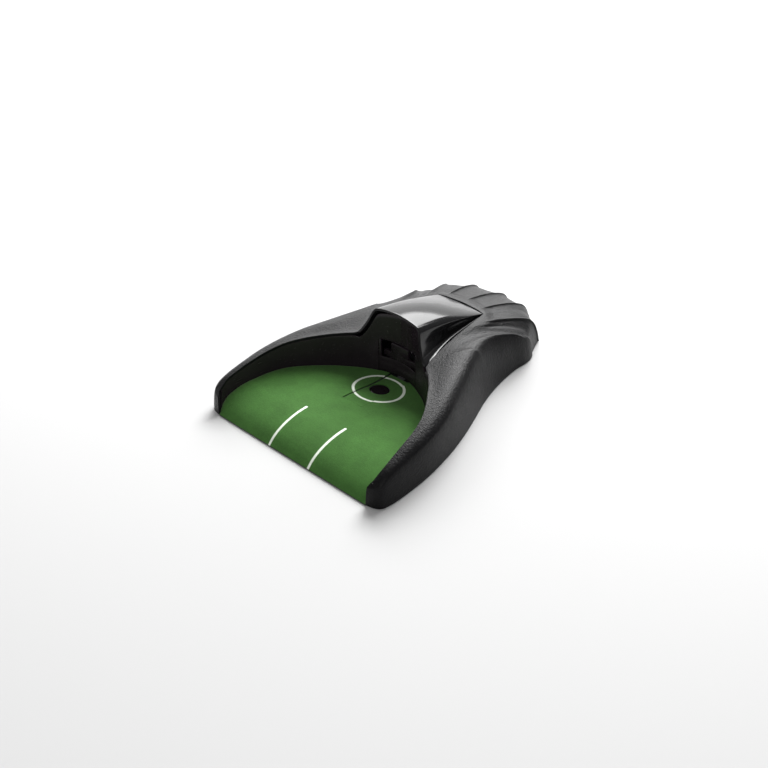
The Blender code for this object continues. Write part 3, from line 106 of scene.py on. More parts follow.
# Sections of the housing, right half, front tip to tail: floor (x, y), shoulder and inner edge
# (x, y, z), and how far round the fan of ribs the section lies (3 is the outermost rib)
SECTIONS = [
    ((84.0, 0.0), (84.6, 1.6, 18.5), (86.0, 4.8, 21.5), 6.0),
    ((92.0, 2.0), (91.0, 4.6, 19.5), (86.5, 7.0, 23.0), 6.0),
    ((96.4, 5.8), (93.8, 8.6, 22.3), (86.8, 10.0, 25.0), 6.0),
    ((98.4, 14.0), (94.5, 15.5, 25.8), (87.3, 16.5, 28.6), 6.0),
    ((99.3, 27.0), (94.8, 27.0, 28.4), (86.4, 27.0, 31.6), 6.0),
    ((99.3, 43.6), (95.0, 43.0, 30.6), (84.8, 42.0, 35.0), 6.0),
    ((98.6, 58.7), (94.7, 59.0, 32.5), (82.6, 57.0, 37.4), 6.0),
    ((96.5, 76.2), (92.4, 77.0, 34.4), (77.5, 73.5, 40.0), 6.0),
    ((92.8, 97.0), (86.8, 98.0, 37.0), (68.0, 90.0, 41.8), 6.0),
    ((87.3, 119.0), (78.8, 118.0, 39.2), (54.5, 108.5, 42.5), 6.0),
    ((79.5, 143.5), (68.5, 144.0, 41.5), (39.5, 123.0, 43.4), 6.0),
    ((72.0, 167.0), (59.0, 167.0, 43.8), (37.0, 135.0, 45.0), 6.0),
    ((66.5, 193.5), (51.5, 190.0, 44.4), (35.0, 148.0, 45.6), 5.0),
    ((64.3, 220.0), (52.5, 209.0, 41.5), (33.4, 160.0, 46.0), 4.0),
    ((65.2, 238.0), (58.5, 226.5, 34.5), (31.9, 171.0, 46.2), 3.4),
    ((63.0, 249.5), (61.8, 240.0, 25.5), (30.8, 181.0, 46.3), 3.0),
    ((53.0, 274.5), (49.0, 262.0, 28.5), (29.4, 195.0, 46.0), 2.0),
    ((40.5, 285.5), (37.8, 273.0, 27.5), (26.4, 219.3, 45.0), 1.46),
    ((29.0, 293.5), (27.4, 283.0, 25.5), (18.4, 221.2, 45.2), 1.0),
    ((0.0, 301.0), (0.0, 291.0, 23.0), (0.0, 222.5, 45.4), 0.0),
]
LEG = 10  # the arm ends at this section, and the shoulder beside the hood begins
OUTER_RIB = 15
TAIL = len(SECTIONS) - 1
RIM_HEIGHT = 0.6

# Handles of the curves from the inner edge over the shoulder to the floor, as shares of their span
EDGE_HANDLE = 0.4
EDGE_DROP = 0.10
SHOULDER_HANDLE = 0.35
SHOULDER_REACH = 8.5
FLANK_HANDLE = 0.55
FOOT_LIFT = 0.45
FOOT_TUCK = 0.22
TANGENT_STEP = 0.05
# A section as oblique as this turns from a plain arch into a shoulder that keeps its slope
SKEW_LOW = 0.30
SKEW_BAND = 0.35

RIB_DEPTH = 2.2
RIB_SQUARE = 16.0  # how flat the hollow's floor is
RIB_STEEP = 0.65
RIB_CENTRE = (0.0, 95.0)
RIB_START = 132.0
RIB_SWEEP = 2.33
RIB_FADE = 13.0
# The outermost hollow dies out above the shoulder: from this fan value, over this much of it
CALM_FAN = 2.5
CALM_START = 2.55
CALM_BAND = 0.4
CALM_SHARE = 0.9
CALM_ROW = 0.80
CALM_ROW_BAND = 0.25
CRESTS = (15, 16, 18, 19)
CREST_PULL = 0.85

# Where the sections bunch up in front of the outermost rib the skin is evened out: first and last
# section, first and last row, and the passes as a share of the look's
EVENED = [
    (11.2, OUTER_RIB + 0.55, 0.06, 0.93, 12.0),
    (11.2, 13.8, 0.06, 1.5, 1.0),
    (13.6, OUTER_RIB + 0.6, 0.8, 1.7, 1.0 / 3.0),
]

# The inner wall in plan, right half, front tip to the middle of the rear (x, y)
MOUTH = [
    (85.0, 3.7), (86.4, 7.6), (87.4, 13.0), (87.3, 20.0), (86.4, 30.0), (84.8, 42.0), (82.6, 57.0),
    (77.5, 73.5), (68.0, 90.0), (54.5, 108.5), (39.0, 122.0), (26.0, 129.8), (13.0, 135.3),
    (0.0, 137.0),
]
MOUTH_FRONT = 83.9
REAR_WALL = 137.0
WALL_FOOT = 2.7
WALL_LEAST = 3.4
WALL_TUCK = 2.2  # below the housing's or the hood's edge, which is as thick
WALL_ROOM = 0.55
NOSE_START = 3.0
NOSE_SLOPE = 0.235

# Front edge of the hood, right half, foot to crown (x, z)
ARCH = [
    (39.0, 43.8), (37.6, 45.4), (35.0, 49.0), (31.0, 56.5), (28.5, 62.5), (26.6, 67.2),
    (24.6, 69.9), (22.0, 71.4), (18.0, 72.4), (10.0, 73.6), (0.0, 74.2),
]
CREASE = 5  # the point of ARCH where the crown meets the side facet
ARCH_SETBACK = 110.0
ARCH_LEAN = 0.30
HOOD_REAR = (25.8, 219.4, 45.2)
REAR_BOW = 2.2
REAR_CORNER = (0.6, -1.0, -1.2)
FACET_DISH = 3.6
FACET_SAG = 0.4
HOOD_BULGE = (2.0, 2.5)
FIT = 0.3
FOOT_ROOM = 0.2
WALL_INSET = 3.8

# Height of the felt from the front edge to the rear wall (y, share of the rise)
RAMP = [
    (0.0, 0.00), (5.0, 0.34), (10.0, 0.57), (16.0, 0.75), (22.0, 0.87), (28.0, 0.95), (35.0, 1.00),
    (44.0, 0.99), (56.0, 0.96), (66.0, 0.91), (78.0, 0.79), (90.0, 0.60), (109.0, 0.24),
    (125.0, 0.06), (137.0, 0.0),
]
RAMP_CREST = 15.7
RAMP_LIP = 1.2
RAMP_REAR = 7.2
RAMP_SWITCH = 6  # from this stop on the share counts up from RAMP_REAR
FELT_END = 1.5
FELT_ROOM = 0.24
FELT_THICK = 0.9
FELT_RIM = 0.22
TONGUE_HALF = 10.5
TONGUE_FRONT = 75.0
TONGUE_END = 1.6
TONGUE_SINK = 1.2
TONGUE_SLIT = (0.85, -0.25)  # how far the tongue's felt stays inside its left and right edge
SLOT_ROOM = 0.5
TARGET = (109.6, 9.1)  # y and radius of the hole
TARGET_SAG = 0.5
PRINT_EDGE = 0.35  # how far the print's edge blurs into the pile
RING_HALF = 1.2
RING_SHIFT = 1.1  # the ring's middle lies this far in front of the hole's
# How far from the wall the painted shade on the felt fades out, in millimetres
RIM_SHADE = 3.0
FELT_STEPS = 24


# ---------------- curves


def at(x, y, z=0.0):
    """A point in the frame from millimetres measured off the middle of the front edge."""
    return Vector((x * MM, FRONT + y * MM, z * MM))


def through(points, place):
    """The point at a fractional index of a smooth curve through the points."""
    last = len(points) - 1
    k = min(int(place), last - 1)
    f = place - k
    p1 = Vector(points[k])
    p2 = Vector(points[k + 1])
    p0 = Vector(points[k - 1]) if k > 0 else 2 * p1 - p2
    p3 = Vector(points[k + 2]) if k + 2 <= last else 2 * p2 - p1
    return 0.5 * (
        2 * p1 + (p2 - p0) * f + (2 * p0 - 5 * p1 + 4 * p2 - p3) * f ** 2
        + (3 * p1 - p0 - 3 * p2 + p3) * f ** 3
    )


def between(points, place):
    """The point at a fractional index of a broken line through the points."""
    k = min(int(place), len(points) - 2)
    return Vector(points[k]).lerp(Vector(points[k + 1]), place - k)


def bezier(p0, p1, p2, p3, t):
    s = 1.0 - t
    return p0 * s ** 3 + p1 * (3 * s * s * t) + p2 * (3 * s * t * t) + p3 * t ** 3


def eased(value):
    """0 to 1 with a soft start and end."""
    value = max(0.0, min(1.0, value))
    return value * value * (3 - 2 * value)


# ---------------- bmesh helpers


def sheet_of(columns, rows, spot):
    """A grid whose vertices go to spot(u, v), u along its columns and v along its rows, 0 to 1."""
    form = bmesh.new()
    bmesh.ops.create_grid(form, x_segments=columns, y_segments=rows, size=0.5)
    for vert in form.verts:
        vert.co = spot(vert.co.x + 0.5, vert.co.y + 0.5)
    return form


def facing(form, outwards):
    """Turns all faces so that they look along outwards(centre) on the whole."""
    form.normal_update()
    agree = sum(
        face.calc_area() * face.normal.dot(outwards(face.calc_center_median()))
        for face in form.faces
    )
    if agree < 0:
        bmesh.ops.reverse_faces(form, faces=form.faces[:])
    form.normal_update()


def thickened(form, wall, lip=0.0, segments=3):
    """Gives a sheet a wall behind its faces, and rounds the front corner all round its rim."""
    form.normal_update()
    rim = [edge for edge in form.edges if edge.is_boundary]
    made = bmesh.ops.extrude_face_region(form, geom=form.faces[:])
    for item in made["geom"]:
        if isinstance(item, bmesh.types.BMVert):
            item.co -= item.normal * wall
    bmesh.ops.recalc_face_normals(form, faces=form.faces[:])
    form.normal_update()
    if lip:
        bmesh.ops.bevel(
            form, geom=rim, offset=lip, segments=segments, profile=0.5,
            affect="EDGES", material=-1, clamp_overlap=True,
        )
    form.normal_update()


def mirrored_over(form):
    """Adds the left half to a right half that ends on the middle plane."""
    bmesh.ops.mirror(
        form, geom=form.verts[:] + form.edges[:] + form.faces[:], axis="X", merge_dist=1e-5
    )
    bmesh.ops.remove_doubles(form, verts=form.verts, dist=1e-5)
    bmesh.ops.recalc_face_normals(form, faces=form.faces[:])


def evened(form, verts, passes):
    """Smooths some of the vertices."""
    for _ in range(passes):
        bmesh.ops.smooth_vert(
            form, verts=verts, factor=0.5, use_axis_x=True, use_axis_y=True, use_axis_z=True
        )


def opened(form, low, high):
    """Cuts the part of a sheet away that lies inside a box, whose sides may be FAR."""
    for axis in range(3):
        for value in (low[axis], high[axis]):
            if abs(value) == FAR:
                continue
            normal = Vector((0.0, 0.0, 0.0))
            normal[axis] = 1.0
            bmesh.ops.bisect_plane(
                form, geom=form.verts[:] + form.edges[:] + form.faces[:], dist=1e-7,
                plane_co=normal * value, plane_no=normal,
            )
    gone = [
        face for face in form.faces
        if all(low[k] < face.calc_center_median()[k] < high[k] for k in range(3))
    ]
    bmesh.ops.delete(form, geom=gone, context="FACES")


def block(low, high, edge=0.0, segments=3):
    """A block between two corners with rounded edges."""
    form = bmesh.new()
    bmesh.ops.create_cube(form, size=1.0)
    low = Vector(low)
    high = Vector(high)
    bmesh.ops.scale(form, vec=high - low, verts=form.verts)
    bmesh.ops.translate(form, vec=(low + high) / 2, verts=form.verts)
    if edge:
        bmesh.ops.bevel(
            form, geom=form.edges[:], offset=edge, segments=segments, profile=0.5,
            affect="EDGES", material=-1,
        )
    return form


def spun(profile, centre, steps=48):
    """A solid of revolution about an upright axis from (radius, height) pairs, top to bottom."""
    form = bmesh.new()
    line = [form.verts.new((centre[0] + r, centre[1], centre[2] + z)) for r, z in profile]
    edges = [form.edges.new(pair) for pair in zip(line, line[1:])]
    bmesh.ops.spin(
        form, geom=line + edges, cent=centre, axis=(0.0, 0.0, 1.0), angle=math.tau,
        steps=steps, use_merge=True, use_duplicate=False,
    )
    bmesh.ops.remove_doubles(form, verts=form.verts, dist=1e-6)
    bmesh.ops.recalc_face_normals(form, faces=form.faces)
    return form


def merged_copy(node):
    """The merged mesh of a CAD node, as a bmesh."""
    form = bmesh.new()
    form.from_mesh(NODES[node].data)
    bmesh.ops.remove_doubles(form, verts=form.verts, dist=2e-6)
    return form


def added(target, extra):
    """Puts one bmesh into another."""
    scrap = bpy.data.meshes.new("scrap")
    extra.to_mesh(scrap)
    extra.free()
    target.from_mesh(scrap)
    bpy.data.meshes.remove(scrap)


def placed(name, form, finish, node, slot):
    """Makes a bmesh an object that stands for a CAD node."""
    mesh = bpy.data.meshes.new(name)
    form.to_mesh(mesh)
    form.free()
    mesh.materials.clear()
    mesh.materials.append(finish)
    mesh.shade_smooth()
    made = bpy.data.objects.new(name, mesh)
    bpy.context.scene.collection.objects.link(made)
    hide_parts(node)
    return made


def finished(name, form, finish, node, slot, smooth=35.0):
    """Makes a bmesh a piece that stands for a CAD node and rides on its body. Edges past the
    angle smooth, in degrees, stay sharp."""
    made = placed(name, form, finish, node, slot)
    made.data.set_sharp_from_angle(angle=math.radians(smooth))
    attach(made, NODES[node]["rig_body"])
    return made


def softened(node, finish, slot, width, name=None):
    """A CAD node's shape with its coplanar faces joined and its corners rounded."""
    form = merged_copy(node)
    bmesh.ops.dissolve_limit(
        form, angle_limit=math.radians(0.5), use_dissolve_boundaries=False,
        verts=form.verts, edges=form.edges, delimit={"NORMAL"},
    )
    corners = [
        edge for edge in form.edges
        if len(edge.link_faces) == 2 and edge.calc_face_angle(0.0) > math.radians(40)
    ]
    bmesh.ops.bevel(
        form, geom=corners, offset=width, segments=2, profile=0.5,
        affect="EDGES", material=-1, clamp_overlap=True,
    )
    return finished(name or f"{node}_finished", form, finish, node, slot)


def smoothed(node, finish, slot, smooth=35.0):
    """A CAD node's shape with smooth shading on its round faces."""
    return finished(f"{node}_finished", merged_copy(node), finish, node, slot, smooth)


def cut_away(form, cutter):
    """Takes one bmesh out of another with an exact Boolean."""
    meshes = []
    objects = []
    for name, each in (("whole", form), ("cutter", cutter)):
        mesh = bpy.data.meshes.new(name)
        each.to_mesh(mesh)
        each.free()
        made = bpy.data.objects.new(name, mesh)
        bpy.context.scene.collection.objects.link(made)
        meshes.append(mesh)
        objects.append(made)
    whole, tool = objects
    boolean = whole.modifiers.new("cut", "BOOLEAN")
    boolean.operation = "DIFFERENCE"
    boolean.solver = "EXACT"
    boolean.object = tool
    bpy.context.view_layer.update()
    result = bpy.data.meshes.new_from_object(
        whole.evaluated_get(bpy.context.evaluated_depsgraph_get())
    )
    left = bmesh.new()
    left.from_mesh(result)
    for made in objects:
        bpy.data.objects.remove(made)
    for mesh in meshes + [result]:
        bpy.data.meshes.remove(mesh)
    return left


# ---------------- shader sums


class Value:
    """A shader socket that takes part in Python sums."""

    def __init__(self, finish, socket):
        self.finish = finish
        self.socket = socket

    def sum(self, operation, *others):
        """A Math node over this value and the others."""
        return self.finish.sum(operation, self, *others)

    def __add__(self, other):
        return self.sum("ADD", other)

    __radd__ = __add__

    def __sub__(self, other):
        return self.sum("SUBTRACT", other)

    def __rsub__(self, other):
        return self.finish.sum("SUBTRACT", other, self)

    def __mul__(self, other):
        return self.sum("MULTIPLY", other)

    def __truediv__(self, other):
        return self.sum("DIVIDE", other)

    def __abs__(self):
        return self.sum("ABSOLUTE")

    def __pow__(self, other):
        return self.sum("POWER", other)

    def most(self, other):
        return self.sum("MAXIMUM", other)

    def ramped(self, low, high, start=0.0, end=1.0):
        """Goes smoothly from start to end as the value goes from low to high."""
        made = self.finish.node(
            "ShaderNodeMapRange", {"interpolation_type": "SMOOTHSTEP"},
            {0: self, 1: low, 2: high, 3: start, 4: end},
        )
        return Value(self.finish, made.outputs[0])


class Finish:
    """A material built from nodes."""

    def __init__(self, name, **fixed):
        self.material = bpy.data.materials.new(name)
        self.material.use_nodes = True
        self.tree = self.material.node_tree
        self.shader = self.tree.nodes["Principled BSDF"]
        for socket, value in fixed.items():
            self.shader.inputs[socket.replace("_", " ")].default_value = value
        coordinates = self.node("ShaderNodeTexCoord")
        self.place = Value(self, coordinates.outputs["Object"])

    def node(self, kind, settings=None, sockets=None):
        """A node with its settings made first, then the values or links of its sockets."""
        made = self.tree.nodes.new(kind)
        for name, value in (settings or {}).items():
            setattr(made, name, value)
        for name, value in (sockets or {}).items():
            if isinstance(value, Value):
                self.tree.links.new(value.socket, made.inputs[name])
            else:
                made.inputs[name].default_value = value
        return made

    def sum(self, operation, *values):
        made = self.node("ShaderNodeMath", {"operation": operation}, dict(enumerate(values)))
        return Value(self, made.outputs[0])

    def axes(self):
        """The three Object coordinates, in metres."""
        parts = self.node("ShaderNodeSeparateXYZ", None, {0: self.place})
        return [Value(self, socket) for socket in parts.outputs]

    def noise(self, size, detail=2.0, rough=0.5, stretch=None):
        """Smooth noise from 0 to 1 with features of a size in millimetres."""
        place = self.place
        if stretch:
            mapped = self.node("ShaderNodeMapping", None, {"Vector": place, "Scale": stretch})
            place = Value(self, mapped.outputs[0])
        made = self.node(
            "ShaderNodeTexNoise", None,
            {"Vector": place, "Scale": 1000.0 / size, "Detail": detail, "Roughness": rough},
        )
        return Value(self, made.outputs[0])

    def cells(self, size):
        """Distance to the nearest point of a scatter whose points lie size millimetres apart."""
        made = self.node(
            "ShaderNodeTexVoronoi", {"feature": "SMOOTH_F1"},
            {"Vector": self.place, "Scale": 1000.0 / size, "Randomness": 1.0},
        )
        return Value(self, made.outputs[0])

    def attribute(self, name):
        """A number stored on the piece's vertices."""
        made = self.node("ShaderNodeAttribute", {"attribute_name": name})
        return Value(self, made.outputs["Fac"])

    def tint(self, share, low, high):
        """A colour between two colours, either of them a link or three numbers."""
        sockets = {0: share, 6: low, 7: high}
        for key in (6, 7):
            if not isinstance(sockets[key], Value):
                sockets[key] = (*sockets[key], 1.0)
        made = self.node("ShaderNodeMix", {"data_type": "RGBA"}, sockets)
        return Value(self, made.outputs[2])

    def mottled(self, share, colour, dark, light):
        """Sets the base colour between a darker and a lighter shade of one colour."""
        self.set("Base Color", self.tint(share, scaled(colour, dark), scaled(colour, light)))

    def set(self, socket, value):
        """Links or sets an input of the shader."""
        if isinstance(value, Value):
            self.tree.links.new(value.socket, self.shader.inputs[socket])
        else:
            self.shader.inputs[socket].default_value = value

    def bump(self, height, depth):
        """Relief from a height that runs 0 to 1 over a depth in millimetres."""
        made = self.node(
            "ShaderNodeBump", None, {"Strength": 1.0, "Distance": depth * MM, "Height": height}
        )
        self.tree.links.new(made.outputs[0], self.shader.inputs["Normal"])


def scaled(colour, amount):
    """A colour made darker or lighter."""
    return tuple(min(1.0, part * amount) for part in colour)


def grained_black(look):
    """Spark-eroded moulded plastic: a fine leather-like grain with its own tone, its colour painted
    darker in its pits as shade and lighter on its tops as light.
    """
    finish = Finish("grained_black", Specular_IOR_Level=0.12)
    pits = finish.cells(look.grain * 1.15)
    fine = finish.noise(look.grain * 0.55, 2.0, 0.6)
    broad = finish.noise(look.grain * 3.2, 2.0, 0.5)
    drift = finish.noise(38.0, 2.0, 0.5)
    relief = pits * 0.55 + fine * 0.45 + broad * 0.35
    # The grain's tone with painted shade and light: the colour follows the grain's height, darker
    # in the pits and lighter on the tops.
    finish.mottled(relief.ramped(0.35, 1.0), look.colour, 0.75, 1.35)
    finish.set("Roughness", look.roughness - 0.07 + fine * 0.10 + drift * 0.05)
    finish.bump(relief, look.relief)
    return finish.material


def glossy_black(name, colour, roughness, ripple):
    """Polished moulded plastic with slight flow ripples and hairline wear."""
    finish = Finish(name, Specular_IOR_Level=0.28)
    flow = finish.noise(26.0, 1.0, 0.4)
    haze = finish.noise(9.0, 3.0, 0.55)
    hair = finish.noise(1.6, 2.0, 0.6, stretch=(1.0, 0.06, 1.0))
    finish.mottled(haze, colour, 0.8, 1.25)
    finish.set("Roughness", roughness + haze * 0.035 + hair.ramped(0.62, 0.80) * 0.05)
    finish.bump(flow * 0.8 + hair * 0.02, ripple)
    return finish.material


def printed_felt(look, name, ring_x=0.0, ring_y=0.0):
    """Short flocked felt with printed white guide lines and a ring round the target, with painted
    shade that darkens it along the inner and rear walls. The ring on the tongue is a little out of
    register with the one round it."""
    finish = Finish(name, Specular_IOR_Level=0.12, Sheen_Weight=0.22, Sheen_Roughness=0.55)
    finish.shader.inputs["Sheen Tint"].default_value = (0.55, 0.85, 0.42, 1.0)
    x, y, _ = finish.axes()
    x = x / MM
    y = (y - FRONT) / MM
    fibre = finish.noise(0.55, 3.0, 0.65)
    tuft = finish.noise(1.7, 2.0, 0.6)
    cloud = finish.noise(16.0, 3.0, 0.55)
    patch = finish.noise(60.0, 1.0, 0.5)
    stray = (finish.noise(0.9, 2.0, 0.6) - 0.5) * 0.9
    half = look.line_width / 2
    beside = abs(abs(x) - look.line_place).ramped(half - PRINT_EDGE, half + PRINT_EDGE)
    beyond = (y + stray).ramped(look.line_length - 0.4, look.line_length + 0.4)
    lines = (1.0 - beside) * (1.0 - beyond)
    reach = ((x - ring_x) ** 2.0 + (y - (TARGET[0] - RING_SHIFT + ring_y)) ** 2.0) ** 0.5
    off_ring = abs(reach - look.ring_radius) + stray * PRINT_EDGE
    ring = 1.0 - off_ring.ramped(RING_HALF - PRINT_EDGE, RING_HALF + PRINT_EDGE)
    print_mask = lines.most(ring) * fibre.ramped(0.12, 0.36, 0.55, 1.0)
    colour = tuple(look.colour)
    shade = fibre * 0.40 + tuft * 0.25 + cloud * 0.35
    ground = finish.tint(shade.ramped(0.28, 0.72), scaled(colour, 0.68), scaled(colour, 1.30))
    ground = finish.tint(patch.ramped(0.35, 0.75) * 0.35, ground, scaled(colour, 0.80))
    # Painted shade: near the inner and rear walls the felt's colour is pulled towards a dull dark
    # green.
    rim = finish.attribute("rim")
    ground = finish.tint(rim * 0.55, ground, (0.070, 0.105, 0.055))
    finish.set("Base Color", finish.tint(print_mask, ground, tuple(look.line_colour)))
    finish.set("Roughness", 0.88 + fibre * 0.10)
    finish.bump(fibre * 0.5 + tuft * 0.5 + print_mask * 0.25, look.pile)
    return finish.material


def moulded(name, colour, roughness, grain=0.5, relief=0.015):
    """Plain moulded plastic or rubber with a faint texture."""
    finish = Finish(name)
    fine = finish.noise(grain, 2.0, 0.6)
    drift = finish.noise(22.0, 2.0, 0.5)
    finish.mottled(drift, colour, 0.86, 1.14)
    finish.set("Roughness", roughness + fine * 0.08)
    finish.bump(fine, relief)
    return finish.material


def metal(name, colour, roughness):
    """Drawn or rolled metal with fine upright lines."""
    finish = Finish(name, Metallic=1.0)
    lines = finish.noise(0.35, 3.0, 0.6, stretch=(1.0, 1.0, 0.04))
    stain = finish.noise(7.0, 3.0, 0.5)
    finish.mottled(stain, colour, 0.84, 1.08)
    finish.set("Roughness", roughness + lines * 0.10 + stain * 0.05)
    finish.bump(lines, 0.008)
    return finish.material


def circuit_green():
    """Solder resist over copper runs."""
    finish = Finish("circuit_green", Coat_Weight=0.3)
    x, y, _ = finish.axes()
    run = finish.noise(3.2, 0.0, 0.5)
    wander = (x / MM + run * 2.0).sum("FRACT")
    across = (y / (3.0 * MM) + run).sum("FRACT")
    copper = wander.ramped(0.30, 0.36) * (1.0 - wander.ramped(0.60, 0.66))
    copper = copper * across.ramped(0.2, 0.25)
    finish.set("Base Color", finish.tint(copper, (0.020, 0.130, 0.045), (0.050, 0.230, 0.080)))
    finish.set("Roughness", 0.34 + run * 0.1)
    finish.bump(copper, 0.03)
    return finish.material


def cell_jacket():
    """A plain printed foil sleeve, lighter towards one end."""
    finish = Finish("cell_sleeve", Metallic=0.35)
    x, _, _ = finish.axes()
    scuff = finish.noise(2.0, 3.0, 0.6)
    band = (abs(x / MM)).ramped(36.0, 36.6)
    ground = finish.tint(band, (0.070, 0.080, 0.095), (0.420, 0.300, 0.130))
    finish.set("Base Color", finish.tint(scuff * 0.25, ground, (0.25, 0.25, 0.25)))
    finish.set("Roughness", 0.28 + scuff * 0.12)
    finish.bump(scuff, 0.01)
    return finish.material


FINISHES = {}


def finish_for(slot):
    """The finish of a material slot of the record, made once."""
    makers = {
        "inner_black": lambda: moulded("inner_black_plastic", (0.045, 0.045, 0.047), 0.52),
        "gear_white": lambda: moulded("gear_plastic", (0.740, 0.730, 0.680), 0.38, 0.8, 0.01),
        "steel": lambda: metal("bright_steel", (0.560, 0.560, 0.570), 0.26),
        "motor_can": lambda: metal("motor_steel", (0.600, 0.600, 0.590), 0.22),
        "brass": lambda: metal("pressed_brass", (0.720, 0.500, 0.190), 0.26),
        "board_green": circuit_green,
        "cell_jacket": cell_jacket,
        "rubber": lambda: moulded("foot_rubber", (0.018, 0.018, 0.018), 0.82, 0.35, 0.03),
        "red_plastic": lambda: moulded("switch_red_plastic", (0.420, 0.035, 0.025), 0.42),
    }
    if slot not in FINISHES:
        FINISHES[slot] = makers[slot]()
    return FINISHES[slot]


# ---------------- housing


def housing_line(place, across):
    """A point of the right half: place runs from the front tip to the tail, across from the
    inner edge (0) over the shoulder (1) to the floor (2)."""
    floor = through([(*row[0], 0.0) for row in SECTIONS], place)
    floor.z = RIM_HEIGHT
    shoulders = [row[1] for row in SECTIONS]
    edges = [row[2] for row in SECTIONS]
    shoulder = through(shoulders, place)
    edge = through(edges[: LEG + 1], place) if place <= LEG else between(edges, place)
    before = through(shoulders, max(0.0, place - TANGENT_STEP))
    after = through(shoulders, min(float(TAIL), place + TANGENT_STEP))
    along = (after - before).xy.normalized()
    fall = -(after - before).z / (after - before).xy.length
    inward = (shoulder - edge).xy
    outward = (floor - shoulder).xy
    lean_in = Vector((*inward.normalized(), 0.0))
    lean_out = Vector((*outward.normalized(), 0.0))
    skew = abs(inward.normalized().cross(along))
    square = eased((skew - SKEW_LOW) / SKEW_BAND)
    chord = (edge.z - shoulder.z) / inward.length
    slope = (skew + fall * inward.normalized().dot(along)) * square + 2.0 * chord * (1.0 - square)
    slope_out = abs(outward.normalized().cross(along)) + fall * outward.normalized().dot(along)
    reach = SHOULDER_HANDLE * inward.length
    reach = min(reach, SHOULDER_REACH) * square + reach * (1.0 - square)
    if across < 1.0:
        edge_handle = edge + (lean_in - Vector((0, 0, EDGE_DROP))) * (EDGE_HANDLE * inward.length)
        shoulder_in = shoulder - (lean_in - Vector((0, 0, slope))) * reach
        return bezier(edge, edge_handle, shoulder_in, shoulder, across)
    out_reach = FLANK_HANDLE * outward.length
    shoulder_out = shoulder + lean_out * out_reach - Vector((0, 0, slope_out * out_reach))
    foot_handle = floor + Vector((0, 0, FOOT_LIFT * shoulder.z))
    foot_handle -= lean_out * (FOOT_TUCK * outward.length)
    return bezier(shoulder, shoulder_out, foot_handle, floor, across - 1.0)


def fan_of(place):
    """How far round the fan of ribs a section lies."""
    return between([(row[3], 0.0, 0.0) for row in SECTIONS], place).x


def valley(x, y, fan, row, crest_round):
    """How deep the hollow between two ribs is, in millimetres."""
    if fan >= 3.0:
        return 0.0
    start = RIB_START - RIB_SWEEP * fan ** 2
    grown = eased((math.hypot(x - RIB_CENTRE[0], y - RIB_CENTRE[1]) - start) / RIB_FADE)
    across = fan - math.floor(fan)
    middle = abs(2.0 * across - 1.0)
    steep = RIB_STEEP
    if fan > CALM_FAN:
        flank = eased((row - CALM_ROW) / CALM_ROW_BAND)
        steep *= flank
        grown *= 1.0 - CALM_SHARE * eased((fan - CALM_START) / CALM_BAND) * (1.0 - flank)
    hollow = 1.0 - steep * middle ** RIB_SQUARE - (1.0 - steep) * middle ** 2
    hollow = max(0.0, math.hypot(hollow, crest_round) - crest_round)
    return RIB_DEPTH * grown * hollow


def gathered(share):
    """Draws evenly spaced positions towards the sections that are crests of ribs."""
    pull = CREST_PULL if round(share) in CRESTS else 0.0
    return share - pull * math.sin(math.tau * share) / math.tau


def housing_form(look):
    """The housing's skin: the right half evened out, hollowed between its ribs and mirrored."""
    form = bmesh.new()
    bmesh.ops.create_grid(
        form, x_segments=TAIL * look.columns, y_segments=look.rows, size=0.5
    )
    where = form.verts.layers.float_vector.new("where")
    for vert in form.verts:
        place = gathered((vert.co.x + 0.5) * TAIL)
        row = (vert.co.y + 0.5) * 2.0
        vert.co = housing_line(place, min(2.0, row))
        vert[where] = (place, row, 0.0)
    for first, last, inner, outer, share in EVENED:
        loose = [
            vert for vert in form.verts
            if first < vert[where].x < last and inner < vert[where].y < outer
        ]
        evened(form, loose, round(look.evening * share))
    facing(form, lambda centre: Vector((centre.x, centre.y - 150.0, 60.0)))
    sunk = []
    for vert in form.verts:
        place, row, _ = vert[where]
        depth = valley(vert.co.x, vert.co.y, fan_of(place), row, look.crest_round)
        moved = vert.co - vert.normal * depth
        if row > 1.999:
            moved.z = RIM_HEIGHT
        if place > TAIL - 1e-4:
            moved.x = 0.0
        sunk.append(moved)
    for vert, moved in zip(form.verts, sunk):
        vert.co = at(*moved)
    mirrored_over(form)
    facing(form, lambda centre: Vector((centre.x, centre.y, 0.06)))
    return form


# ---------------- hood


def arch_front(inset):
    """The hood's front line, right foot over the crown to left foot, moved inwards."""
    full = [Vector((x, z, 0.0)) for x, z in ARCH]
    full += [Vector((-p.x, p.y, 0.0)) for p in reversed(full[:-1])]
    moved = []
    for k, point in enumerate(full):
        along = (full[min(k + 1, len(full) - 1)] - full[max(k - 1, 0)]).normalized()
        moved.append(point + Vector((-along.y, along.x, 0.0)) * inset)
    return moved


def foot_line(y):
    """x of the housing's inner edge beside the hood."""
    for row, following in zip(SECTIONS[LEG:], SECTIONS[LEG + 1:]):
        a, b = row[2], following[2]
        if a[1] <= y <= b[1]:
            return a[0] + (b[0] - a[0]) * (y - a[1]) / (b[1] - a[1])
    return SECTIONS[LEG][2][0]


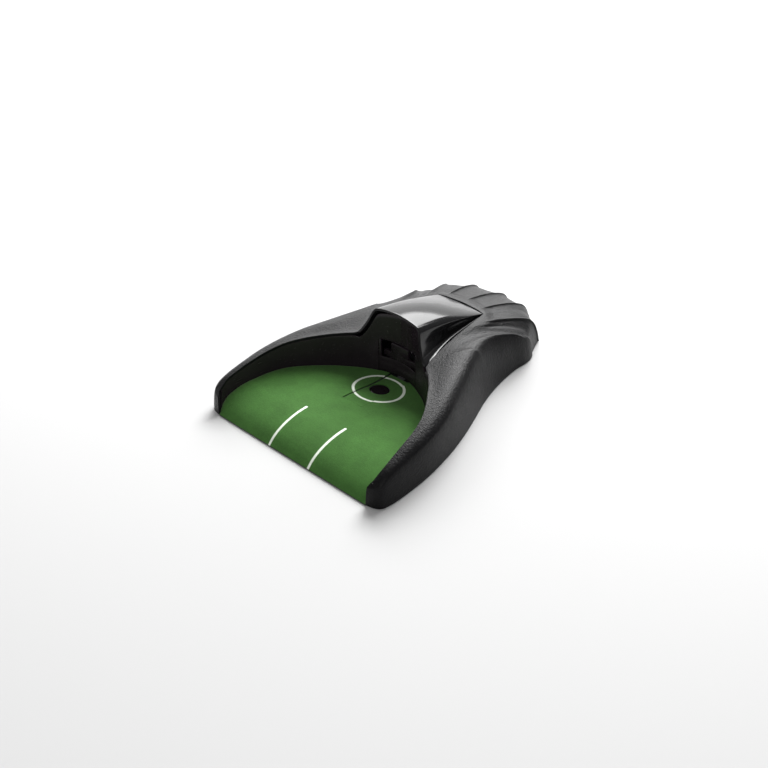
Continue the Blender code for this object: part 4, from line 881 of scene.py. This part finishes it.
def hood_point(front, u, v):
    """u runs from the right foot to the left foot, v from the front line to the rear edge."""
    last = len(front) - 1
    place = u * last
    rear_half, rear_y, rear_z = (value - FIT for value in HOOD_REAR)
    near = through(front, place)
    depth = min(place, last - place)
    side = 1.0 if place <= last / 2 else -1.0
    start = Vector((near.x, ARCH_SETBACK + ARCH_LEAN * near.y, near.y))
    if depth >= CREASE:
        share = near.x / front[CREASE].x
        end = Vector((share * rear_half, rear_y + REAR_BOW * (1 - share ** 2), rear_z))
        found = start.lerp(end, v)
        found.z += (HOOD_BULGE[0] + HOOD_BULGE[1] * (1 - share ** 2)) * math.sin(math.pi * v)
        return found
    low = (CREASE - depth) / CREASE
    corner = Vector((rear_half, rear_y, rear_z)) + Vector(REAR_CORNER) * low
    found = start.lerp(Vector((side * corner.x, corner.y, corner.z)), v)
    straight = front[0].x + (rear_half + REAR_CORNER[0] - front[0].x) * v
    pull = (foot_line(found.y) - FIT - FOOT_ROOM - straight) * low
    found.x += side * min(pull, 0.0) * max(0.0, math.sin(math.pi * v)) ** 0.5
    dish = FACET_DISH * math.sin(math.pi * low ** 1.5) * max(0.0, math.sin(math.pi * v))
    found.x -= side * dish
    found.z += HOOD_BULGE[0] * math.sin(math.pi * v) * (1.0 - low) ** 2 - FACET_SAG * dish
    return found


def hood_form(look):
    """The hood: a bulged crown and two dished side facets behind the arch."""
    front = arch_front(FIT)
    form = sheet_of(look.columns, look.rows, lambda u, v: hood_point(front, u, v))
    evened(form, [vert for vert in form.verts if not vert.is_boundary], look.evening)
    for vert in form.verts:
        vert.co = at(*vert.co)
    facing(form, lambda centre: Vector((centre.x, 0.0, 0.03)))
    thickened(form, look.wall * MM, look.rim * MM)
    return form


# ---------------- inner wall


def mouth_half_line(steps):
    """The right half of the inner wall's face in plan, front tip to the middle of the rear."""
    count = (len(MOUTH) - 1) * steps
    right = [through([(*p, 0.0) for p in MOUTH], k / steps) for k in range(count + 1)]
    right[-1].x = 0.0
    return right


def mouth_line(steps):
    """The inner wall's face in plan, right tip round the rear to the left tip."""
    right = mouth_half_line(steps)
    return right + [Vector((-p.x, p.y, 0.0)) for p in reversed(right[:-1])]


def wall_top(point, inner, edges):
    """How high the inner wall reaches, under the housing's edge or up inside the hood."""
    x = abs(point.x)
    if x < ARCH[0][0]:
        half = inner[: len(ARCH)]
        for a, b in zip(half, half[1:]):
            if b.x <= x <= a.x:
                return a.y + (b.y - a.y) * (a.x - x) / (a.x - b.x) - WALL_TUCK
        return half[0].y - WALL_TUCK - 0.2
    nearest = min(edges, key=lambda p: (p.x - x) ** 2 + (p.y - point.y) ** 2)
    return min(nearest.z - WALL_TUCK - WALL_ROOM, (point.y - NOSE_START) / NOSE_SLOPE)


def inner_wall_form(look):
    """The wall round the green, with the kicker's window cut out of it."""
    plan = mouth_line(look.steps)
    inner = arch_front(WALL_INSET)
    edge_points = [row[2] for row in SECTIONS][: LEG + 1]
    edges = [through(edge_points, k / 12) for k in range(LEG * 12 + 1)]
    tops = [max(wall_top(point, inner, edges), WALL_LEAST) for point in plan]
    for _ in range(2):
        tops = [
            (tops[max(k - 1, 0)] + 2 * tops[k] + tops[min(k + 1, len(tops) - 1)]) / 4
            for k in range(len(tops))
        ]
    columns = len(plan) - 1

    def spot(u, v):
        k = round(u * columns)
        return at(plan[k].x, plan[k].y, WALL_FOOT + (tops[k] - WALL_FOOT) * v)

    form = sheet_of(columns, look.rows, spot)
    low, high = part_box("kicker_panel")
    room = FIT * MM
    opened(
        form, (low.x - room, low.y - 0.01, -FAR), (high.x + room, high.y + 0.01, high.z + room)
    )
    facing(form, lambda centre: Vector((-centre.x, FRONT + 0.03 - centre.y, 0.0)))
    thickened(form, look.wall * MM, look.rim * MM, 2)
    return form


# ---------------- felt and tongue


def felt_height(y):
    """Height of the felt's top, in millimetres."""
    stops = [stop for stop, _ in RAMP]
    last = len(stops) - 1
    y = max(0.0, min(stops[-1], y))
    k = max(i for i in range(last) if stops[i] <= y)
    share = (y - stops[k]) / (stops[k + 1] - stops[k])
    low = RAMP_LIP if k < RAMP_SWITCH else RAMP_REAR
    level = through([(value, 0.0, 0.0) for _, value in RAMP], k + share).x
    return low + (RAMP_CREST - low) * level


def tongue_height(y):
    """Height of the tongue's top, which sinks a little towards its free end."""
    length = REAR_WALL - TONGUE_END - TONGUE_FRONT
    return felt_height(y) - TONGUE_SINK * max(0.0, (y - TONGUE_FRONT) / length)


def mouth_half(right, y):
    """Half the width between the inner walls."""
    if y <= right[0].y:
        return MOUTH_FRONT + (right[0].x - MOUTH_FRONT) * y / right[0].y
    for a, b in zip(right, right[1:]):
        if a.y <= y <= b.y:
            return a.x + (b.x - a.x) * (y - a.y) / (b.y - a.y)
    return 0.0


def marked_wall_shade(made):
    """Stores how close each vertex of the felt is to the wall, 1 at the wall: the mask for the
    painted shade that darkens the felt along the walls.
    """
    right = mouth_half_line(FELT_STEPS)
    store = made.data.attributes.new("rim", "FLOAT", "POINT")
    values = []
    for vert in made.data.vertices:
        y = (vert.co.y - FRONT) / MM
        side = mouth_half(right, min(y, REAR_WALL)) - abs(vert.co.x) / MM
        rear = (REAR_WALL - y) * 0.8
        values.append(1.0 - eased(min(side, rear) / RIM_SHADE))
    store.data.foreach_set("value", values)


def felt_form(look):
    """The felt on the ramp, with the tongue's slot cut out of it."""
    right = mouth_half_line(FELT_STEPS)
    end = REAR_WALL - FELT_END

    def spot(u, v):
        y = end * (v + 0.10 * math.sin(math.tau * v) / math.tau)
        half = max(mouth_half(right, y + FELT_ROOM) - FIT, 4.0)
        return at(half * (1.0 - 2.0 * u), y, felt_height(y))

    form = sheet_of(look.columns, look.rows, spot)
    half_slot = (TONGUE_HALF + SLOT_ROOM) * MM
    slot_front = FRONT + (TONGUE_FRONT - 0.1) * MM
    opened(form, (-half_slot, slot_front, -FAR), (half_slot, FRONT + 0.2, FAR))
    facing(form, lambda centre: Vector((0.0, 0.0, 1.0)))
    thickened(form, FELT_THICK * MM, FELT_RIM * MM, 2)
    # The front edge is skived down to the floor.
    for vert in form.verts:
        if vert.co.y < FRONT + 0.45 * MM and vert.co.z < 0.85 * MM:
            vert.co.z = 0.1 * MM
    return form


def tongue_felt_form():
    """The felt on the tongue: it dips towards the hole, and clears the slot's left side most."""
    end = REAR_WALL - TONGUE_END
    left = -TONGUE_HALF + TONGUE_SLIT[0]
    wide = TONGUE_HALF - TONGUE_SLIT[1] - left

    def spot(u, v):
        x = left + wide * u
        y = TONGUE_FRONT + (end - TONGUE_FRONT) * v
        sag = TARGET_SAG * eased(1.0 - math.hypot(x, y - TARGET[0]) / (TARGET[1] * 1.5))
        return at(x, y, tongue_height(y) - sag)

    form = sheet_of(24, 60, spot)
    facing(form, lambda centre: Vector((0.0, 0.0, 1.0)))
    thickened(form, FELT_THICK * MM * 0.9)
    radius = TARGET[1] * MM
    top, bottom = 30.0 * MM, -10.0 * MM
    hole = spun(
        [(0.0, top), (radius, top), (radius, bottom), (0.0, bottom)], at(0.0, TARGET[0]), 72
    )
    form = cut_away(form, hole)
    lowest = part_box("tongue_felt")[0].z + 0.2 * MM
    corner = [
        edge for edge in form.edges
        if len(edge.link_faces) == 2 and edge.calc_face_angle(0.0) > math.radians(60)
        and min(vert.co.z for vert in edge.verts) > lowest
        and all(face.normal.z > -0.5 for face in edge.link_faces)
    ]
    bmesh.ops.bevel(
        form, geom=corner, offset=0.2 * MM, segments=2, profile=0.5,
        affect="EDGES", material=-1, clamp_overlap=True,
    )
    return form


def dome_form():
    """The pressure dome in the target: a dark lens with a lip that snaps in from below."""
    low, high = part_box("target_dome")
    centre = (low + high) / 2
    radius = (high.x - low.x) / 2 - 0.8 * MM
    rise = 1.15 * MM
    profile = []
    for k in range(15):
        turn = math.pi / 2 * k / 14
        profile.append((radius * math.sin(turn), high.z - (1.0 - math.cos(turn)) * rise))
    profile += [
        (radius, low.z + 0.9 * MM), (radius + 0.8 * MM, low.z + 0.8 * MM),
        (radius + 0.8 * MM, low.z + 0.2 * MM), (radius, low.z + 0.02 * MM),
        (0.0, low.z + 0.02 * MM),
    ]
    return spun(profile, (centre.x, centre.y, 0.0), 72)


# ---------------- sizes and colours a user may change


def count(name, description, default, low, high):
    """A whole number that a user may change."""
    return IntProperty(name=name, description=description, default=default, min=low, max=high)


def amount(name, description, default, low, high, subtype="NONE"):
    """A number that a user may change. Lengths are in millimetres."""
    return FloatProperty(
        name=name, description=description, default=default, min=low, max=high, subtype=subtype
    )


def colour(name, description, default):
    """A colour that a user may change."""
    return FloatVectorProperty(
        name=name, description=description, default=default, min=0.0, max=1.0, subtype="COLOR"
    )


class HousingLook(bpy.types.PropertyGroup):
    columns: count("Columns", "Columns between two drawn sections", 14, 4, 24)
    rows: count("Rows", "Rows from inner edge to floor", 44, 12, 80)
    wall: amount("Wall", "Thickness of the moulding", 2.0, 1.0, 2.2)
    rim: amount("Rim", "Rounding of the rim", 0.55, 0.1, 1.0)
    crest_round: amount("Crest", "How rounded the ribs' crests are", 0.07, 0.0, 0.4)
    evening: count("Evening", "Smoothing passes in front of the outer rib", 60, 0, 200)
    grain: amount("Grain", "Size of the moulded grain", 1.15, 0.2, 3.0)
    relief: amount("Relief", "Depth of the grain", 0.42, 0.0, 1.0)
    colour: colour("Colour", "Base colour of the plastic", (0.0045, 0.0045, 0.005))
    roughness: amount("Roughness", "Roughness of the grained plastic", 0.36, 0.0, 1.0, "FACTOR")


class HoodLook(bpy.types.PropertyGroup):
    columns: count("Columns", "Columns from foot to foot", 200, 40, 300)
    rows: count("Rows", "Rows from front to rear", 72, 12, 120)
    wall: amount("Wall", "Thickness of the hood", 1.9, 1.0, 2.0)
    rim: amount("Rim", "Rounding of the front rim", 0.6, 0.1, 0.9)
    evening: count("Evening", "Smoothing passes over the creases", 8, 0, 60)
    colour: colour("Colour", "Base colour of the polished plastic", (0.006, 0.006, 0.0065))
    roughness: amount("Roughness", "Roughness of the polished plastic", 0.11, 0.0, 1.0, "FACTOR")


class WallLook(bpy.types.PropertyGroup):
    steps: count("Steps", "Columns between two drawn points", 12, 4, 24)
    rows: count("Rows", "Rows from floor to top", 16, 4, 40)
    wall: amount("Wall", "Thickness of the inner wall", 1.5, 0.8, 1.6)
    rim: amount("Rim", "Rounding of its top", 0.4, 0.1, 0.7)
    colour: colour("Colour", "Base colour of the inner wall", (0.018, 0.013, 0.017))
    roughness: amount("Roughness", "Roughness of the inner wall", 0.24, 0.0, 1.0, "FACTOR")


class FeltLook(bpy.types.PropertyGroup):
    columns: count("Columns", "Columns across the ramp", 150, 40, 260)
    rows: count("Rows", "Rows along the ramp", 150, 40, 260)
    colour: colour("Felt", "Colour of the felt", (0.041, 0.122, 0.023))
    line_colour: colour("Print", "Colour of the printed lines", (0.80, 0.86, 0.76))
    line_place: amount("Line offset", "Guide lines' distance from the middle", 22.2, 5.0, 40.0)
    line_width: amount("Line width", "Width of the guide lines", 2.2, 0.5, 5.0)
    line_length: amount("Line length", "Reach of the lines from the front edge", 44.5, 10.0, 90.0)
    ring_radius: amount("Ring", "Radius of the printed ring", 22.0, 12.0, 30.0)
    pile: amount("Pile", "Depth of the felt's pile", 0.22, 0.0, 1.0)


class StageLook(bpy.types.PropertyGroup):
    floor: colour("Floor", "Colour of the floor", (0.55, 0.55, 0.55))
    sky: amount("Sky", "Strength of the even surrounding light", 0.27, 0.0, 3.0)
    back: amount("Back light", "Large light behind the object", 43.0, 0.0, 400.0, "POWER")
    low: amount("Low light", "Low light behind the object", 11.5, 0.0, 400.0, "POWER")
    top: amount("Top light", "High light behind the object", 44.0, 0.0, 400.0, "POWER")
    front: amount("Front light", "Light on the camera's side", 8.0, 0.0, 400.0, "POWER")
    side: amount("Side light", "Light on the left", 4.0, 0.0, 400.0, "POWER")


# ---------------- operators


class MakeHousing(bpy.types.Operator):
    """Make the grained housing with its two arms and ribbed tail"""

    bl_idname = "putting_cup.housing"
    bl_label = "Housing"

    def execute(self, context):
        look = context.scene.housing_look
        form = housing_form(look)
        thickened(form, look.wall * MM, look.rim * MM, 2)
        finished("housing", form, grained_black(look), "housing_shell", "matt_black", 38.0)
        return {"FINISHED"}


class MakeHood(bpy.types.Operator):
    """Make the polished arched hood over the target"""

    bl_idname = "putting_cup.hood"
    bl_label = "Hood"

    def execute(self, context):
        look = context.scene.hood_look
        finish = glossy_black("hood_gloss", look.colour, look.roughness, 0.012)
        finished("arched_hood", hood_form(look), finish, "hood", "gloss_black", 50.0)
        return {"FINISHED"}


class MakeInnerWall(bpy.types.Operator):
    """Make the wall round the green and the panel that the kicker stands behind"""

    bl_idname = "putting_cup.inner_wall"
    bl_label = "Inner wall"

    def execute(self, context):
        look = context.scene.wall_look
        finish = glossy_black("wall_gloss", look.colour, look.roughness, 0.03)
        finished("inner_wall", inner_wall_form(look), finish, "cup_wall", "liner_black", 40.0)
        softened("kicker_panel", finish, "liner_black", 0.3 * MM, name="kicker_window")
        for node in ("kicker_bar", "kicker_block"):
            softened(node, finish, "liner_black", 0.35 * MM)
        return {"FINISHED"}


class MakeFelt(bpy.types.Operator):
    """Make the felt on the ramp with its printed lines and the plate under it"""

    bl_idname = "putting_cup.felt"
    bl_label = "Felt ramp"

    def execute(self, context):
        look = context.scene.felt_look
        finish = printed_felt(look, "printed_felt")
        made = finished("felt", felt_form(look), finish, "green_felt", "felt_green", 50.0)
        marked_wall_shade(made)
        area = sum(face.area for face in made.data.polygons) / 2
        smoothed("ramp_plate", finish_for("inner_black"), "inner_black")
        return {"FINISHED"}


class MakeTongue(bpy.types.Operator):
    """Make the pressure tongue's felt, its plate and the dome in the target"""

    bl_idname = "putting_cup.tongue"
    bl_label = "Tongue and target"

    def execute(self, context):
        look = context.scene.felt_look
        finish = printed_felt(look, "printed_felt_tongue", 0.25, -0.35)
        made = finished(
            "felt_tongue", tongue_felt_form(), finish, "tongue_felt", "felt_green", 50.0
        )
        marked_wall_shade(made)
        finish = glossy_black("dome_gloss", (0.011, 0.008, 0.010), 0.14, 0.01)
        finished("pressure_dome", dome_form(), finish, "target_dome", "dome_black", 40.0)
        smoothed("trigger_tongue", finish_for("inner_black"), "inner_black")
        return {"FINISHED"}


class MakeUnderside(bpy.types.Operator):
    """Make the base, battery door, feet, screws and power slider"""

    bl_idname = "putting_cup.underside"
    bl_label = "Underside"

    def execute(self, context):
        plastic = moulded("base_plastic", (0.024, 0.024, 0.025), 0.46, 0.6, 0.04)
        smoothed("base_plate", plastic, "matt_black")
        low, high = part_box("battery_door")
        door = block(low, high, 0.4 * MM)
        half = Vector((9.0, 0.35, 0.0)) * MM
        for k in range(6):
            grip = Vector((0.0, high.y - (3.0 + 1.6 * k) * MM, low.z))
            lift = Vector((0.0, 0.0, 0.3)) * MM
            sink = Vector((0.0, 0.0, 0.35)) * MM
            added(door, block(grip - half - sink, grip + half + lift, 0.2 * MM, 2))
        finished("battery_lid", door, plastic, "battery_door", "matt_black")
        for k in range(1, 7):
            self.foot(k)
            self.screw(k)
        knob = block(*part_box("power_slider"), 0.3 * MM)
        red = finish_for("red_plastic")
        finished("power_knob_finished", knob, red, "power_slider", "red_plastic")
        return {"FINISHED"}

    def foot(self, k):
        low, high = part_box(f"rubber_foot_{k}")
        centre = (low + high) / 2
        radius = (high.x - low.x) / 2
        chamfer, corner = 0.1 * MM, 0.35 * MM
        profile = [
            (0.0, high.z), (radius - chamfer, high.z), (radius, high.z - chamfer), (radius, corner)
        ]
        for step in range(5):
            turn = math.pi / 2 * step / 4
            profile.append(
                (radius - corner * (1 - math.cos(turn)), corner * (1 - math.sin(turn)))
            )
        profile.append((0.0, 0.0))
        form = spun(profile, (centre.x, centre.y, 0.0), 40)
        finished(f"foot_{k}", form, finish_for("rubber"), f"rubber_foot_{k}", "rubber")

    def screw(self, k):
        low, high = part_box(f"case_screw_{k}")
        centre = (low + high) / 2
        head = (high.x - low.x) / 2
        stem = head / 2
        profile = [
            (0.0, high.z), (stem, high.z - 0.8 * MM), (stem, low.z + 0.5 * MM),
            (head - 0.1 * MM, low.z + 0.5 * MM), (head, low.z + 0.4 * MM),
            (head * 0.86, low.z + 0.06 * MM), (head * 0.6, low.z), (0.0, low.z),
        ]
        form = spun(profile, (centre.x, centre.y, 0.0), 32)
        arm, thin = head * 0.62, 0.28 * MM
        for wide, deep in ((arm, thin), (thin, arm)):
            slot = block(
                (centre.x - wide, centre.y - deep, low.z - MM),
                (centre.x + wide, centre.y + deep, low.z + 0.32 * MM),
            )
            form = cut_away(form, slot)
        finished(f"screw_{k}", form, finish_for("steel"), f"case_screw_{k}", "steel")


class MakeDrive(bpy.types.Operator):
    """Finish the gears, motor, springs, switches, board and cells inside"""

    bl_idname = "putting_cup.drive"
    bl_label = "Drive"

    def execute(self, context):
        slots = {row["node"]: row["material_slot"] for row in frame["record"]["subparts"]}
        softly = {
            "guide_front", "guide_rear", "trigger_switch", "power_switch", "battery_box",
            "circuit_board",
        }
        for node, made in sorted(NODES.items()):
            if made.hide_render:
                continue
            finish = finish_for(slots[node])
            if node == "kicker_spring":
                self.spring(finish)
            elif node in softly:
                softened(node, finish, slots[node], 0.15 * MM)
            else:
                smoothed(node, finish, slots[node], 30.0)
        return {"FINISHED"}

    def spring(self, finish):
        """The kicker's spring, which reaches from the front guide to the bar: a smooth-shaded copy
        of the CAD coil.
        """
        form = merged_copy("kicker_spring")
        made = placed("return_spring", form, finish, "kicker_spring", "steel")
        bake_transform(made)


class MakeStage(bpy.types.Operator):
    """Make the pale floor, the studio lights and the camera"""

    bl_idname = "putting_cup.stage"
    bl_label = "Floor, lights and camera"

    def execute(self, context):
        look = context.scene.stage_look
        form = bmesh.new()
        bmesh.ops.create_grid(form, x_segments=2, y_segments=2, size=6.0)
        mesh = bpy.data.meshes.new("floor")
        form.to_mesh(mesh)
        form.free()
        floor = bpy.data.objects.new("floor", mesh)
        floor.location = (0.0, 0.0, -FLOOR_ROOM)
        context.scene.collection.objects.link(floor)
        finish = Finish("floor_paper", Roughness=0.75, Specular_IOR_Level=0.15)
        finish.set("Base Color", (*look.floor, 1.0))
        mesh.materials.append(finish.material)
        world = bpy.data.worlds.new("studio")
        context.scene.world = world
        world.use_nodes = True
        background = world.node_tree.nodes["Background"]
        background.inputs["Color"].default_value = (1.0, 1.0, 1.0, 1.0)
        background.inputs["Strength"].default_value = look.sky
        self.light("back_light", (-0.98, 1.28, 1.08), 0.05, (1.7, 0.85), look.back)
        self.light("low_light", (-1.15, 1.38, 0.37), 0.05, (3.2, 0.74), look.low)
        self.light("top_light", (-0.28, 1.12, 1.32), 0.03, (1.1, 1.0), look.top)
        self.light("front_light", (1.15, -1.35, 1.1), 0.03, (1.2, 0.8), look.front)
        self.light("side_light", (-1.3, -0.3, 0.9), 0.03, (0.9, 0.9), look.side)
        view = bpy.data.cameras.new("camera")
        view.lens = CAMERA_LENS
        view.sensor_width = 36.0
        view.clip_start = 0.01
        camera = bpy.data.objects.new("camera", view)
        camera.location = CAMERA_PLACE
        aim = Vector(CAMERA_AIM) - camera.location
        camera.rotation_euler = aim.to_track_quat("-Z", "Y").to_euler()
        context.scene.collection.objects.link(camera)
        context.scene.camera = camera
        context.scene.view_settings.view_transform = "Standard"
        return {"FINISHED"}

    def light(self, name, place, height, size, watts):
        """A soft light that looks at a height above the middle of the frame."""
        lamp = bpy.data.lights.new(name, "AREA")
        lamp.shape = "RECTANGLE"
        lamp.size, lamp.size_y = size
        lamp.energy = watts
        made = bpy.data.objects.new(name, lamp)
        made.location = place
        aim = Vector((0.0, 0.0, height)) - Vector(place)
        made.rotation_euler = aim.to_track_quat("-Z", "Y").to_euler()
        made.visible_camera = False
        bpy.context.scene.collection.objects.link(made)


class CupPanel(bpy.types.Panel):
    """The cup's pieces and their sizes"""

    bl_idname = "VIEW3D_PT_putting_cup"
    bl_label = "Putting Cup"
    bl_space_type = "VIEW_3D"
    bl_region_type = "UI"
    bl_category = "Putting Cup"

    def draw(self, context):
        layout = self.layout
        for title, name in LOOKS:
            box = layout.box()
            box.label(text=title)
            look = getattr(context.scene, name)
            for key in look.__annotations__:
                box.prop(look, key)
        for operator in OPERATORS:
            layout.operator(operator.bl_idname)


LOOKS = [
    ("Housing", "housing_look"), ("Hood", "hood_look"), ("Inner wall", "wall_look"),
    ("Felt", "felt_look"), ("Stage", "stage_look"),
]
LOOK_CLASSES = [HousingLook, HoodLook, WallLook, FeltLook, StageLook]
OPERATORS = [
    MakeHousing, MakeHood, MakeInnerWall, MakeFelt, MakeTongue, MakeUnderside, MakeDrive, MakeStage,
]


def register():
    for each in LOOK_CLASSES + OPERATORS + [CupPanel]:
        bpy.utils.register_class(each)
    for (_, name), look in zip(LOOKS, LOOK_CLASSES):
        setattr(bpy.types.Scene, name, PointerProperty(type=look))


def unregister():
    for _, name in LOOKS:
        delattr(bpy.types.Scene, name)
    for each in reversed(LOOK_CLASSES + OPERATORS + [CupPanel]):
        bpy.utils.unregister_class(each)


def main():
    register()
    bpy.ops.putting_cup.housing()
    bpy.ops.putting_cup.hood()
    bpy.ops.putting_cup.inner_wall()
    bpy.ops.putting_cup.felt()
    bpy.ops.putting_cup.tongue()
    bpy.ops.putting_cup.underside()
    bpy.ops.putting_cup.drive()
    bpy.ops.putting_cup.stage()


if __name__ == "__main__":
    main()
